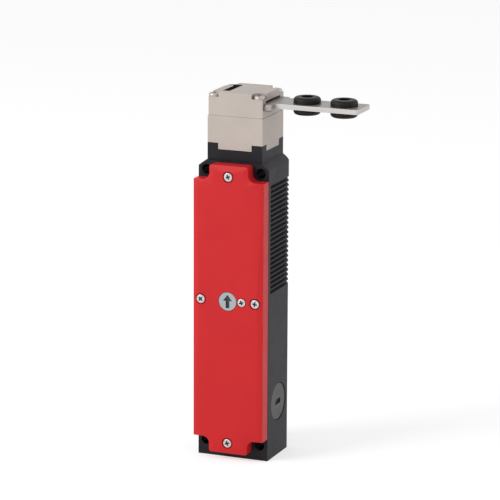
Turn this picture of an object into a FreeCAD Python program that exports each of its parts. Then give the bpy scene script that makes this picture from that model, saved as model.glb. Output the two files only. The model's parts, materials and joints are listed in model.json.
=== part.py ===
import FreeCAD, Part
import math
import os
import Sketcher
from FreeCAD import Placement, Rotation, Vector

# Tongue interlock switch. Row frame: X to the side the tongue enters from, Z up,
# the front of the switch towards -Y, the mounting face on Y = 0. The origin is the
# middle of the four mounting holes. "Depth" is the distance in front of the mounting
# face, so depth = -Y. All sizes are in millimetres.

SIZES = [
    # housing
    ("housing_width", 38.8, "across the flanks"),
    ("housing_depth", 30.0, "mounting face to the rim under the cover"),
    ("foot", 3.9, "housing below the cover"),
    ("housing_bottom", "=-tab_end - foot", "height of the underside"),
    ("shoulder_rise", 3.2, "height of the sloping shoulder"),
    ("shoulder_low", "=shoulder_high - shoulder_rise", "height where the shoulder starts"),
    ("collar_height", 5.5, "straight part of the collar"),
    ("shoulder_high", "=collar_top - collar_height", "height where the shoulder meets the collar"),
    ("collar_over", 6.5, "collar above the cover"),
    ("collar_top", "=tab_end + collar_over", "height of the collar under the head"),
    ("post_height", 3.15, "height of a corner post"),
    ("post_top", "=collar_top + post_height", "height of the four corner posts"),
    ("post_size", 5.8, "side of a corner post"),
    ("wall", 3.4, "thickness of a flank"),
    ("back_wall", 3.0, "thickness of the back"),
    ("rim_height", 2.2, "housing rim above and below the cavity"),
    ("cavity_half_height", "=cover_half_height - rim_height", "half the height of the main cavity"),
    ("chamber_half_width", 9.2, "half the width of the plunger chamber"),
    ("tab_boss_depth", 7.6, "solid front wall for the tab screws"),
    ("chamber_depth", "=housing_depth - tab_boss_depth", "depth of the plunger chamber's front wall"),
    ("roof_drop", 0.6, "chamber roof below the collar's foot"),
    ("chamber_top", "=shoulder_high - roof_drop", "height of the plunger chamber's roof"),
    ("back_edge_radius", 3.2, "rounding of the long back edges"),
    ("hole_inset", 4.4, "mounting holes from the flanks"),
    ("hole_half_x", "=housing_width / 2 - hole_inset", "mounting hole offset across"),
    ("hole_rise", 3.8, "mounting holes from the notch floors"),
    ("hole_half_z", "=cover_half_height + hole_rise", "mounting hole offset up and down"),
    ("hole_radius", 2.65, "mounting hole for an M5 screw"),
    ("entry_radius", 9.25, "core radius of the M20 cable entries"),
    ("entry_depth", "=housing_depth / 2", "depth of the cable entry axes"),
    ("side_entry_height", -51.5, "height of the two side entries"),
    ("entry_boss_radius", 11.6, "boss round a side entry"),
    ("entry_boss_reach", 2.8, "how far the boss stands inside the flank"),
    ("entry_recess_radius", 10.0, "shallow recess outside a side entry"),
    ("entry_recess", 1.3, "its depth"),
    # cooling ribs
    ("rib_pitch", 2.5, "groove to groove"),
    ("rib_drop", 3.45, "top groove below the notch floor"),
    ("rib_first", "=cover_half_height - rib_drop", "height of the top groove"),
    ("rib_count", 23, "grooves on each flank"),
    ("groove_depth", 1.55, "depth of a groove"),
    ("groove_mouth", 2.1, "groove height at the flank"),
    ("groove_root", 0.7, "groove height at its root"),
    ("flange_width", 2.4, "plain strip in front of the grooves"),
    ("groove_front", "=housing_depth - flange_width", "depth at which the grooves stop"),
    # cover
    ("cover_reveal", 0.1, "how far the cover stands in from a flank"),
    ("cover_width", "=housing_width - cover_reveal * 2", "across the cover"),
    ("cover_half_height", 68.2, "height of the notch floors"),
    ("cover_thick", 7.7, "height of the cover over the rim"),
    ("cover_front", "=housing_depth + cover_thick", "depth of the front face"),
    ("cover_bevel_reach", 3.5, "width of the sloping border"),
    ("cover_bevel_drop", 0.9, "fall of the sloping border"),
    ("cover_skin", 2.5, "thickness of the front"),
    ("cover_side_wall", 2.9, "side wall of the cover"),
    ("cover_cavity_half_width", "=cover_width / 2 - cover_side_wall", "half width of the hollow"),
    ("cover_end_wall", 3.6, "end wall of the cover"),
    ("cover_cavity_half_height", "=cover_half_height - cover_end_wall", "half height of the hollow"),
    ("tab_clear", 4.4, "edge of a tab from the hole centres"),
    ("tab_half_width", "=hole_half_x - tab_clear", "half width of the end tabs"),
    ("tab_height", 7.9, "height of a tab over the notch floors"),
    ("tab_end", "=cover_half_height + tab_height", "height of the end of a tab"),
    ("tab_corner", 1.2, "outer rounding of a tab"),
    ("tab_fillet", 3.8, "inner rounding of a notch"),
    ("gasket_inset_x", 1.0, "gasket groove from a flank"),
    ("gasket_outer_x", "=housing_width / 2 - gasket_inset_x", "half width of the gasket groove, outside"),
    ("gasket_inset_z", 0.5, "gasket groove from a notch floor"),
    ("gasket_outer_z", "=cover_half_height - gasket_inset_z", "half height of the gasket groove, outside"),
    ("gasket_width", 1.3, "width of the gasket groove"),
    ("gasket_thick", 1.2, "depth of the gasket groove"),
    ("gasket_gap", 0.1, "side gap of the gasket in its groove"),
    # cover screws
    ("tab_screw_drop", 1.6, "tab screws from the level of the mounting holes"),
    ("tab_screw_height", "=hole_half_z - tab_screw_drop", "screws in the two tabs"),
    ("mid_height", 5.4, "height of the middle screws and the release"),
    ("screw_head_radius", 2.45, "cover screw head"),
    ("screw_head_height", 1.6, "cover screw head"),
    ("screw_sink", 1.5, "screw seats below the cover's face"),
    ("screw_seat", "=cover_front - screw_sink", "depth of the screw seats"),
    ("screw_shank_radius", 1.5, "cover screw shank"),
    ("screw_fit", 0.08, "radial gap of a screw in its hole"),
    ("head_gap", 0.25, "radial gap round a sunk head"),
    ("tab_screw_clear", 3.0, "tab screw tips in front of the chamber"),
    ("tab_screw_tip", "=chamber_depth + tab_screw_clear", "depth of the tab screw tips"),
    ("mid_screw_grip", 10.0, "middle screws below the rim"),
    ("mid_screw_tip", "=housing_depth - mid_screw_grip", "depth of the middle screw tips"),
    ("boss_radius", 3.4, "boss round a middle screw"),
    ("boss_clear", 0.65, "bosses in front of the plunger's link"),
    ("boss_back", "=mid_depth + link_half + boss_clear", "depth where the boss starts"),
    ("recess_length", 2.7, "length of a cross recess"),
    ("recess_width", 0.7, "width of a cross recess"),
    ("recess_deep", 0.9, "depth of a cross recess"),
    # auxiliary release and its seal screw
    ("release_radius", 4.95, "dial of the auxiliary release"),
    ("release_thick", 1.2, "thickness of the dial"),
    ("dial_proud", 0.05, "dial in front of the cover's face"),
    ("release_top", "=cover_front + dial_proud", "depth of the dial's face"),
    ("release_shaft_radius", 3.2, "shaft of the release"),
    ("release_web_radius", 4.2, "crank disc behind the cover"),
    ("web_clear", 1.0, "crank disc in front of the bar"),
    ("release_web_back", "=bar_back + bar_thick + web_clear", "depth of the crank disc's back"),
    ("release_web_thick", 1.4, "thickness of the crank disc"),
    ("release_pin_offset", 3.0, "crank pin from the release axis"),
    ("release_pin_radius", 0.6, "crank pin"),
    ("pin_reach", 0.4, "crank pin behind the bar"),
    ("release_pin_back", "=bar_back - pin_reach", "depth of the crank pin's end"),
    ("release_slot_width", 1.5, "driver slot in the dial"),
    ("release_slot_length", 5.4, "driver slot in the dial"),
    ("release_slot_deep", 0.8, "driver slot in the dial"),
    ("seal_screw_x", 7.6, "seal screw beside the release"),
    ("seal_screw_radius", 2.35, "seal screw head"),
    ("running_gap", 0.08, "radial gap of a shaft or pin that turns or slides"),
    ("part_gap", 0.3, "gap between neighbouring pieces"),
    ("o_ring_radius", 0.7, "half thickness of the small O-rings"),
    ("o_ring_sink", 4.1, "release O-ring behind the cover's face"),
    ("o_ring_depth", "=cover_front - o_ring_sink", "depth of the release O-ring"),
    # operating head
    ("head_half_width", 15.05, "half the width of the head"),
    ("collar_step", 1.3, "collar and head behind the rim"),
    ("head_depth", "=housing_depth - collar_step", "front face of the head"),
    ("base_height", 17.6, "height of the head's base"),
    ("head_seam", "=collar_top + base_height", "height of the joint between base and cap"),
    ("seam_line", 0.35, "width and depth of the groove under the cap"),
    ("cap_height", 11.9, "height of the head's cap"),
    ("head_top", "=head_seam + cap_height", "height of the top"),
    ("cap_inset", 0.5, "how far the cap's left face stands in"),
    ("cap_strip_drop", 0.6, "the strip left of the top slot lies lower"),
    ("cap_skin", 2.7, "thickness of the cap's top"),
    ("floor_thick", 3.9, "thickness of the head's floor"),
    ("head_floor", "=collar_top + floor_thick", "height of the floor inside the head"),
    ("head_wall_x", 2.75, "left and right walls of the head"),
    ("head_cavity_half_x", "=head_half_width - head_wall_x", "half width of the head's cavity"),
    ("head_wall_y", 4.75, "front and back walls of the head"),
    ("head_cavity_half_y", "=mid_depth - head_wall_y", "half depth of the head's cavity"),
    ("mid_depth", "=head_depth / 2", "depth of the mechanism's middle plane"),
    ("slot_room", 1.4, "free height under the tongue in its slot"),
    ("side_slot_low", "=tongue_bottom - slot_room", "lower edge of the side slot"),
    ("slot_height", 5.0, "opening of both actuator slots"),
    ("slot_gap", 0.6, "free width beside the tongue in the side slot"),
    ("side_slot_half", "=tongue_half + slot_gap", "half length of the side slot"),
    ("top_slot_reach", 10.9, "top slot's left edge from the wheel axis"),
    ("top_slot_left", "=wheel_x - top_slot_reach", "left edge of the top slot"),
    ("top_slot_gap", 0.25, "free width beside a tongue in the top slot"),
    ("top_slot_half", "=tongue_half + top_slot_gap", "half length of the top slot"),
    ("top_slot_corner", 1.0, "corner rounding of the top slot"),
    ("head_screw_inset", 2.7, "head screws from the faces of the head"),
    ("head_screw_back", 3.05, "depth of the two back head screws"),
    ("head_screw_radius", 2.95, "head screw head"),
    ("head_screw_height", 1.7, "head screw head"),
    ("head_screw_shank", 1.35, "head screw shank"),
    ("head_screw_bore", 3.2, "counterbore for a head screw"),
    ("head_screw_sink", 2.5, "counterbore floor below the top"),
    ("head_screw_seat", "=head_top - head_screw_sink", "height of the counterbore floor"),
    ("head_screw_grip", 3.4, "head screws below the collar's top"),
    ("head_screw_tip", "=collar_top - head_screw_grip", "height of the head screw tips"),
    # actuator tongue and its rubber bushes
    ("tongue_rise", 7.3, "tongue's underside over the wheel axis"),
    ("tongue_bottom", "=wheel_z + tongue_rise", "height of the tongue's underside"),
    ("tongue_thick", 2.5, "thickness of the tongue"),
    ("tip_room", 1.6, "space behind the tongue's tip"),
    ("tongue_tip", "=tip_room - head_cavity_half_x", "inner end at rest"),
    ("tongue_end", 64.3, "outer end at rest"),
    ("tongue_side_gap", 0.6, "space beside the tongue in the head"),
    ("tongue_half", "=head_cavity_half_y - tongue_side_gap", "half the width of the strip"),
    ("shoulder_inset", 1.65, "stop shoulder inside the head's outline"),
    ("shoulder_half", "=mid_depth - shoulder_inset", "half the width of the stop shoulder"),
    ("shoulder_gap", 0.25, "stop shoulder off the head's face"),
    ("shoulder_start", "=head_half_width + shoulder_gap", "face of the stop shoulder"),
    ("shoulder_length", 3.9, "parallel part of the stop shoulder"),
    ("shoulder_flat", "=shoulder_start + shoulder_length", "end of its parallel part"),
    ("shoulder_slope", 0.8, "length of its slope"),
    ("shoulder_end", "=shoulder_flat + shoulder_slope", "end of its slope"),
    ("ear_drop", 1.35, "how far a rolled ear hangs below the tongue"),
    ("ear_width", 2.6, "width of a rolled ear"),
    ("ear_radius", 1.2, "rounding of a rolled ear"),
    ("tip_bar", 2.6, "bar in front of the tongue's window"),
    ("window_left", "=tongue_tip + tip_bar", "window the cam wheel's teeth enter"),
    ("window_right", 4.6, "window the cam wheel's teeth enter"),
    ("window_half", 6.2, "half width of the window"),
    ("bush_first_x", 33.7, "first rubber bush"),
    ("bush_pitch", 20.0, "bush to bush"),
    ("bush_radius", 7.0, "rubber bush"),
    ("bush_height", 9.0, "rubber bush"),
    ("bush_neck_radius", 4.5, "neck in the tongue's hole"),
    ("bush_hole_radius", 4.6, "hole in the tongue"),
    ("bush_edge", 1.5, "rounding of the bush"),
    ("bush_flat_gap", 0.05, "bush lips above and below the strip"),
    # cam wheel
    ("wheel_x", 0.8, "axis of the cam wheel"),
    ("wheel_rise", 14.9, "wheel axis over the collar's top"),
    ("wheel_z", "=collar_top + wheel_rise", "axis of the cam wheel"),
    ("wheel_half", "=head_cavity_half_y - part_gap", "half length of the hub"),
    ("hub_radius", 4.0, "hub of the cam wheel"),
    ("axle_radius", 1.75, "axle of the cam wheel"),
    ("axle_cover", 2.4, "metal in front of the axle"),
    ("axle_front", "=head_depth - axle_cover", "depth of the axle's front end"),
    ("axle_back", 1.0, "depth of the axle's back end"),
    ("cam_radius", 5.0, "eccentric that moves the plunger"),
    ("cam_half", 2.5, "half length of the eccentric"),
    ("cam_throw", 2.546, "eccentric's centre from the wheel axis"),
    ("tooth_disc_radius", 6.0, "disc that carries the teeth"),
    ("tooth_inner", 3.0, "tooth discs from the middle plane"),
    ("tooth_outer", 5.6, "tooth discs from the middle plane"),
    ("tooth_reach", 8.3, "tip radius of a tooth"),
    ("tooth_tip_half", 1.0, "half width at the tip"),
    ("tooth_root_half", 2.0, "half width at the root"),
    # plunger
    ("plunger_radius", 2.5, "shaft of the plunger"),
    ("cam_gap", 0.12, "plunger below the eccentric"),
    ("plunger_top", "=wheel_z - cam_radius + cam_throw * sqrt(0.5) - cam_gap", "top of the plunger's head at rest"),
    ("plunger_head_height", 3.25, "plunger's head"),
    ("plunger_head_low", "=plunger_top - plunger_head_height", "underside of the plunger's head"),
    ("plunger_head_half_x", 3.0, "half width of the plunger's head"),
    ("plunger_head_half_y", 2.4, "half depth of the plunger's head"),
    ("plunger_flange_radius", 4.4, "flange over the spring"),
    ("flange_thick", 1.2, "flange over the spring"),
    ("plunger_flange_low", "=plunger_flange_high - flange_thick", "flange over the spring"),
    ("plunger_flange_high", "=chamber_top - part_gap", "flange over the spring"),
    ("shaft_proud", 0.1, "thick shaft below the shelf"),
    ("plunger_shaft_low", "=shelf_low - shaft_proud", "lower end of the thick shaft"),
    ("neck_radius", 1.5, "neck of the plunger"),
    ("collar_radius", 3.4, "lock collar of the plunger"),
    ("collar_thick", 1.4, "lock collar of the plunger"),
    ("collar_low", "=collar_high - collar_thick", "lock collar of the plunger"),
    ("collar_drop", 2.5, "lock collar below the shelf"),
    ("collar_high", "=shelf_low - collar_drop", "lock collar of the plunger"),
    ("link_arm", 2.0, "height of the link's arm"),
    ("link_low", "=link_high - link_arm", "underside of the link's arm"),
    ("link_drop", 2.8, "link's arm below the slider's nose"),
    ("link_high", "=slider_tip_low - link_drop", "top of the link's arm"),
    ("link_clear", 1.2, "link's strip beside the yoke"),
    ("link_x", "=yoke_half_x + link_clear", "inner face of the link's strip"),
    ("link_thick", 1.4, "thickness of the strip"),
    ("link_half", 3.0, "half width of the strip"),
    ("link_end", "=bridge_high", "lower end of the strip"),
    ("seal_radius", 5.9, "recess of the plunger wiper"),
    ("seal_high", 2.4, "height of the plunger wiper"),
    # lock carrier, slider and guide pins
    ("carrier_thick", 2.0, "thickness of the carrier plate"),
    ("carrier_back", "=carrier_front - carrier_thick", "depth of the carrier plate's back"),
    ("carrier_clear", 3.75, "carrier plate behind the middle plane"),
    ("carrier_front", "=mid_depth - carrier_clear", "depth of the carrier plate's front"),
    ("carrier_clear_left", 0.8, "carrier plate inside the contact blocks"),
    ("carrier_left", "=carrier_clear_left - block_outer", "carrier plate"),
    ("carrier_right", 9.0, "carrier plate"),
    ("carrier_lip", 0.5, "carrier plate below the slider"),
    ("carrier_low", "=slider_foot_low - carrier_lip", "carrier plate"),
    ("shelf_thick", 1.2, "spring shelf of the carrier"),
    ("shelf_low", "=shelf_high - shelf_thick", "spring shelf of the carrier"),
    ("shelf_drop", 0.3, "spring shelf below the cavity's top"),
    ("shelf_high", "=cavity_half_height - shelf_drop", "spring shelf of the carrier"),
    ("shelf_reach", 6.25, "spring shelf in front of the middle plane"),
    ("shelf_front", "=mid_depth + shelf_reach", "spring shelf of the carrier"),
    ("shelf_left", -7.0, "spring shelf of the carrier"),
    ("carrier_post_radius", 2.2, "posts behind the carrier plate"),
    ("slider_half", 1.5, "half thickness of the lock slider"),
    ("slider_inset", 0.8, "slider from the carrier's left edge"),
    ("slider_left", "=carrier_left + slider_inset", "left edge of the slider"),
    ("slider_tip_x", -3.3, "nose of the slider, unlocked"),
    ("nose_thick", 1.4, "nose of the slider"),
    ("slider_tip_low", "=slider_tip_high - nose_thick", "underside of the nose"),
    ("nose_gap", 0.4, "nose below the plunger's collar"),
    ("slider_tip_high", "=collar_low - nose_gap", "top of the nose"),
    ("slider_web_right", -4.8, "right edge of the slider's web"),
    ("foot_drop", 4.0, "slotted foot below the link's arm"),
    ("slider_foot_high", "=link_low - foot_drop", "top of the slotted foot"),
    ("foot_lip", 2.4, "slotted foot below the pin"),
    ("slider_foot_low", "=pin_z - foot_lip", "underside of the slotted foot"),
    ("slider_foot_right", 2.7, "right edge of the slotted foot"),
    ("lock_travel", 2.2, "travel of armature and slider"),
    ("pin_drop", 4.6, "armature pin below the foot's top"),
    ("pin_z", "=slider_foot_high - pin_drop", "armature pin at rest"),
    ("pin_radius", 1.0, "armature pin and guide pins"),
    ("pin_gap", 0.1, "gap of a pin in its slot"),
    ("guide_inset", 4.8, "guide pins from the slider's left edge"),
    ("guide_x", "=slider_left + guide_inset", "guide pins"),
    ("guide_low_rise", 3.6, "lower guide pin over the slider's foot"),
    ("guide_low_z", "=slider_foot_low + guide_low_rise", "lower guide pin"),
    ("guide_high_drop", 4.6, "upper guide pin below the nose"),
    ("guide_high_z", "=slider_tip_high - guide_high_drop", "upper guide pin"),
    ("guide_head_radius", 1.9, "shoulder and head of a guide pin"),
    ("guide_head_thick", 0.9, "head of a guide pin"),
    # solenoid
    ("yoke_gap", 5.0, "yoke off the flanks' inner faces"),
    ("yoke_half_x", "=housing_width / 2 - wall - yoke_gap", "half width of the yoke"),
    ("yoke_half_y", 9.0, "half depth of the yoke"),
    ("yoke_height", 34.5, "height of the yoke"),
    ("yoke_low", "=yoke_high - yoke_height", "underside of the yoke"),
    ("armature_proud", 1.5, "armature over the yoke at rest"),
    ("yoke_high", "=armature_top - armature_proud", "top of the yoke"),
    ("yoke_side", 1.8, "thickness of the yoke's sides"),
    ("yoke_plate", 2.5, "thickness of the yoke's end plates"),
    ("armature_radius", 4.2, "armature"),
    ("armature_bottom", "=pole_top + part_gap", "lower end of the armature at rest"),
    ("fork_gap", 3.0, "fork's root below the slider"),
    ("armature_top", "=slider_foot_low - fork_gap", "top of the round part of the armature"),
    ("armature_bore_radius", 3.0, "bore for the armature spring"),
    ("armature_bore", 12.7, "depth of the bore for the spring"),
    ("armature_bore_top", "=armature_bottom + armature_bore", "end of that bore"),
    ("cheek_half_x", 2.5, "cheeks of the armature's fork"),
    ("cheek_inner", 1.8, "cheeks of the armature's fork"),
    ("cheek_outer", 3.4, "cheeks of the armature's fork"),
    ("cheek_rise", 1.6, "cheeks over the pin"),
    ("cheek_top", "=pin_z + cheek_rise", "cheeks of the armature's fork"),
    ("pole_height", 14.0, "fixed pole"),
    ("pole_top", "=yoke_low + pole_height", "fixed pole"),
    ("bobbin_bore", 4.5, "inner radius of the bobbin"),
    ("bobbin_wall", 0.7, "thickness of the bobbin's tube"),
    ("bobbin_inset", 2.1, "bobbin flange inside the yoke's outline"),
    ("bobbin_flange_radius", "=yoke_half_x - bobbin_inset", "bobbin flange"),
    ("bobbin_flange", 1.2, "thickness of a bobbin flange"),
    ("winding_inset", 0.5, "winding below the bobbin flanges"),
    ("coil_radius", "=bobbin_flange_radius - winding_inset", "winding"),
    # bar from the armature to the release and the lock contact
    ("bar_left", -6.2, "release bar strip"),
    ("bar_right", -4.2, "release bar strip"),
    ("bar_clear", 1.85, "bar in front of the yoke"),
    ("bar_back", "=mid_depth + yoke_half_y + bar_clear", "depth of the bar's back"),
    ("bar_thick", 1.0, "thickness of the bar"),
    ("arm_rise", 1.3, "arm over the armature's shoulder"),
    ("bar_arm_low", "=armature_top + arm_rise", "arm over the yoke"),
    ("arm_height", 1.8, "height of the arm"),
    ("bar_arm_high", "=bar_arm_low + arm_height", "arm over the yoke"),
    ("bar_overlap", 1.0, "bar in front of its bridge carrier"),
    ("bar_end", "=bridge_high - bar_overlap", "lower end of the bar"),
    ("dog_rise", 1.6, "dog over the release axis"),
    ("dog_low", "=mid_height + dog_rise", "dog that the release's crank pin blocks"),
    ("dog_thick", 0.6, "dog that the release's crank pin blocks"),
    ("dog_reach", 1.0, "how far the dog reaches past the middle"),
    # contact blocks
    ("block_drop", 8.0, "contact blocks below the yoke"),
    ("block_top", "=yoke_low - block_drop", "top of the contact blocks"),
    ("block_height", 22.0, "height of a contact block"),
    ("block_bottom", "=block_top - block_height", "underside of the contact blocks"),
    ("block_inner", 1.2, "inner flank of a contact block"),
    ("block_gap", 0.6, "contact blocks off the flanks"),
    ("block_outer", "=housing_width / 2 - wall - block_gap", "outer flank of a contact block"),
    ("door_block_reach", 7.65, "door contact block before the middle plane"),
    ("door_block_front", "=mid_depth + door_block_reach", "depth of the door contact block"),
    ("lock_block_reach", 2.2, "lock contact block before the bar"),
    ("lock_block_front", "=bar_back + lock_block_reach", "depth of the lock contact block"),
    ("channel_deep", 16.0, "depth of the bridge channels"),
    ("channel_bottom", "=block_top - channel_deep", "floor of the bridge channels"),
    ("door_channel_half_x", 1.9, "door channel"),
    ("door_channel_half_y", 5.0, "door channel"),
    ("bridge_drop", 2.0, "bridge carriers below the blocks' top"),
    ("bridge_high", "=block_top - bridge_drop", "top of a bridge carrier"),
    ("bridge_height", 5.5, "height of a bridge carrier"),
    ("bridge_low", "=bridge_high - bridge_height", "underside of a bridge carrier"),
    ("bridge_plate", 0.8, "thickness of a contact bridge"),
    ("bridge_seat", 3.6, "underside of a contact bridge"),
    ("bridge_z", "=bridge_high - bridge_seat", "underside of a contact bridge"),
    # terminals
    ("terminal_inset", 2.8, "terminal strip inside the blocks' flanks"),
    ("terminal_half", "=block_outer - terminal_inset", "half width of the terminal strip"),
    ("terminal_height", 10.0, "height of the terminal strip"),
    ("terminal_low", "=terminal_high - terminal_height", "underside of the terminal strip"),
    ("terminal_drop", 4.0, "terminal strip below the contact blocks"),
    ("terminal_high", "=block_bottom - terminal_drop", "top of the terminal strip"),
    ("terminal_reach", 1.65, "terminal strip before the middle plane"),
    ("terminal_front", "=mid_depth + terminal_reach", "depth of the terminal strip"),
    ("terminal_pitch", "=terminal_half * 2 / terminal_count", "terminal to terminal"),
    ("terminal_count", 7, "number of terminals"),
    ("clamp_half", 1.4, "half width of a clamp"),
    ("clamp_thick", 5.0, "depth of a clamp"),
    ("clamp_height", 5.0, "height of a clamp"),
    ("terminal_screw_radius", 1.2, "terminal screw"),
    # springs
    ("plunger_spring_radius", 3.55, "mean radius of the plunger spring"),
    ("plunger_spring_wire", 0.4, "wire radius"),
    ("plunger_spring_turns", 4.0, "turns"),
    ("armature_spring_radius", 2.1, "mean radius of the armature spring"),
    ("armature_spring_wire", 0.35, "wire radius"),
    ("armature_spring_turns", 8.0, "turns"),
    ("contact_spring_radius", 1.5, "mean radius of a contact spring"),
    ("contact_spring_wire", 0.25, "wire radius"),
    ("contact_spring_turns", 6.0, "turns"),
]


class Size:
    """A number together with the spreadsheet formula that gives it."""

    def __init__(self, formula, value):
        self.formula = formula
        self.value = float(value)

    def __float__(self):
        return self.value

    def __add__(self, other):
        other = as_size(other)
        return Size(f"({self.formula} + {other.formula})", self.value + other.value)

    def __radd__(self, other):
        return as_size(other) + self

    def __sub__(self, other):
        other = as_size(other)
        return Size(f"({self.formula} - {other.formula})", self.value - other.value)

    def __rsub__(self, other):
        return as_size(other) - self

    def __mul__(self, other):
        other = as_size(other)
        return Size(f"({self.formula} * {other.formula})", self.value * other.value)

    def __rmul__(self, other):
        return as_size(other) * self

    def __truediv__(self, other):
        other = as_size(other)
        return Size(f"({self.formula} / {other.formula})", self.value / other.value)

    def __neg__(self):
        return Size(f"(-1 * {self.formula})", -self.value)


def as_size(number):
    if isinstance(number, Size):
        return number
    return Size(repr(float(number)), number)


class Dimensions:
    """Every size of the sheet, by name."""


doc = FreeCAD.newDocument("TongueInterlockSwitch")
sheet = doc.addObject("Spreadsheet::Sheet", "Dims")
D = Dimensions()
for row, (size_name, size_value, size_note) in enumerate(SIZES, start=1):
    sheet.set(f"A{row}", size_name)
    sheet.set(f"C{row}", size_note)
    sheet.setAlias(f"B{row}", size_name)
for row, (size_name, size_value, size_note) in enumerate(SIZES, start=1):
    sheet.set(f"B{row}", str(size_value))
doc.recompute()
for size_name, size_value, size_note in SIZES:
    setattr(D, size_name, Size(f"Dims.{size_name}", sheet.get(size_name)))

nodes = []


def bind(thing, prop, size):
    thing.setExpression(prop, as_size(size).formula)


# ---------------------------------------------------------------- body features

PLANES = {"front": "XZ_Plane", "top": "XY_Plane", "side": "YZ_Plane"}


def new_body(name):
    body = doc.addObject("PartDesign::Body", name + "_body")
    body.Label = name
    nodes.append(body)
    return body


def new_sketch(body, plane, offset, origin=(0, 0)):
    """A sketch on one of the body's own planes; offset is along the plane's normal.

    front: right is X, up is Z and the offset is a depth. top: right is X, up is Y
    and the offset is a height. side: right is Y, up is Z and the offset is along X.
    """
    sketch = body.newObject("Sketcher::SketchObject", "Sketch")
    for feature in body.Origin.OriginFeatures:
        if feature.Role == PLANES[plane]:
            sketch.AttachmentSupport = (feature, [""])
    sketch.MapMode = "FlatFace"
    bind(sketch, "AttachmentOffset.Base.x", origin[0])
    bind(sketch, "AttachmentOffset.Base.y", origin[1])
    bind(sketch, "AttachmentOffset.Base.z", offset)
    return sketch


def fix_point(sketch, geometry, end, x, y):
    x = as_size(x)
    y = as_size(y)
    index = sketch.addConstraint(Sketcher.Constraint("DistanceX", -1, 1, geometry, end, x.value))
    sketch.setExpression(f"Constraints[{index}]", x.formula)
    index = sketch.addConstraint(Sketcher.Constraint("DistanceY", -1, 1, geometry, end, y.value))
    sketch.setExpression(f"Constraints[{index}]", y.formula)


def add_polygon(sketch, corners):
    corners = [(as_size(x), as_size(y)) for x, y in corners]
    first = sketch.GeometryCount
    count = len(corners)
    for i in range(count):
        ax, ay = corners[i]
        bx, by = corners[(i + 1) % count]
        line = Part.LineSegment(Vector(ax.value, ay.value, 0), Vector(bx.value, by.value, 0))
        sketch.addGeometry(line, False)
    for i in range(count):
        after = first + (i + 1) % count
        sketch.addConstraint(Sketcher.Constraint("Coincident", first + i, 2, after, 1))
    for i, (x, y) in enumerate(corners):
        fix_point(sketch, first + i, 1, x, y)


def add_rectangle(sketch, x0, x1, y0, y1):
    add_polygon(sketch, [(x0, y0), (x1, y0), (x1, y1), (x0, y1)])


def add_circle(sketch, x, y, radius):
    x = as_size(x)
    y = as_size(y)
    radius = as_size(radius)
    circle = Part.Circle(Vector(x.value, y.value, 0), Vector(0, 0, 1), radius.value)
    geometry = sketch.addGeometry(circle, False)
    fix_point(sketch, geometry, 3, x, y)
    index = sketch.addConstraint(Sketcher.Constraint("Radius", geometry, radius.value))
    sketch.setExpression(f"Constraints[{index}]", radius.formula)


def pad(body, sketch, length):
    feature = body.newObject("PartDesign::Pad", "Pad")
    feature.Profile = sketch
    bind(feature, "Length", length)
    doc.recompute()
    return feature


def pocket(body, sketch, length):
    feature = body.newObject("PartDesign::Pocket", "Pocket")
    feature.Profile = sketch
    bind(feature, "Length", length)
    doc.recompute()
    return feature


def revolve(body, sketch, axis="V_Axis"):
    feature = body.newObject("PartDesign::Revolution", "Revolution")
    feature.Profile = sketch
    feature.ReferenceAxis = (sketch, [axis])
    feature.Angle = 360
    doc.recompute()
    return feature


def pad_block(body, plane, low, high, x0, x1, y0, y1):
    sketch = new_sketch(body, plane, low)
    add_rectangle(sketch, x0, x1, y0, y1)
    return pad(body, sketch, as_size(high) - low)


def cut_block(body, plane, low, high, x0, x1, y0, y1):
    sketch = new_sketch(body, plane, high)
    add_rectangle(sketch, x0, x1, y0, y1)
    return pocket(body, sketch, as_size(high) - low)


def pad_circles(body, plane, low, high, radius, centres):
    sketch = new_sketch(body, plane, low)
    for x, y in centres:
        add_circle(sketch, x, y, radius)
    return pad(body, sketch, as_size(high) - low)


def cut_circles(body, plane, low, high, radius, centres):
    sketch = new_sketch(body, plane, high)
    for x, y in centres:
        add_circle(sketch, x, y, radius)
    return pocket(body, sketch, as_size(high) - low)


def straight_edges(shape, axis, points):
    """Names of the edges parallel to an axis (0, 1, 2) through the given points."""
    others = [i for i in range(3) if i != axis]
    names = []
    for number, edge in enumerate(shape.Edges, start=1):
        start = edge.Vertexes[0].Point
        end = edge.Vertexes[-1].Point
        if abs(start[axis] - end[axis]) < 0.01:
            continue
        if any(abs(start[i] - end[i]) > 0.001 for i in others):
            continue
        for point in points:
            wanted = [as_size(value).value for value in point]
            if all(abs(start[i] - value) < 0.01 for i, value in zip(others, wanted)):
                names.append(f"Edge{number}")
    return names


def dress_edges(body, kind, prop, size, names):
    if not names:
        raise RuntimeError(body.Label + ": no edge to dress")
    base = body.Tip
    feature = body.newObject("PartDesign::" + kind, kind)
    feature.Base = (base, names)
    bind(feature, prop, size)
    doc.recompute()
    return feature


def round_edges(body, radius, axis, points):
    names = straight_edges(body.Shape, axis, points)
    return dress_edges(body, "Fillet", "Radius", radius, names)


def level_edges(shape, axis, level):
    """Names of the edges that lie wholly in one plane square to an axis."""
    level = as_size(level).value
    names = []
    for number, edge in enumerate(shape.Edges, start=1):
        low = [edge.BoundBox.XMin, edge.BoundBox.YMin, edge.BoundBox.ZMin][axis]
        high = [edge.BoundBox.XMax, edge.BoundBox.YMax, edge.BoundBox.ZMax][axis]
        if abs(low - level) < 0.001 and abs(high - level) < 0.001:
            names.append(f"Edge{number}")
    return names


# ---------------------------------------------------------------- simple solids

TURNS = {
    "up": Rotation(),
    "deep": Rotation(Vector(1, 0, 0), 90),
    "right": Rotation(Vector(0, 1, 0), 90),
}


def place(solid, x, y, z):
    bind(solid, "Placement.Base.x", x)
    bind(solid, "Placement.Base.y", y)
    bind(solid, "Placement.Base.z", z)


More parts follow.
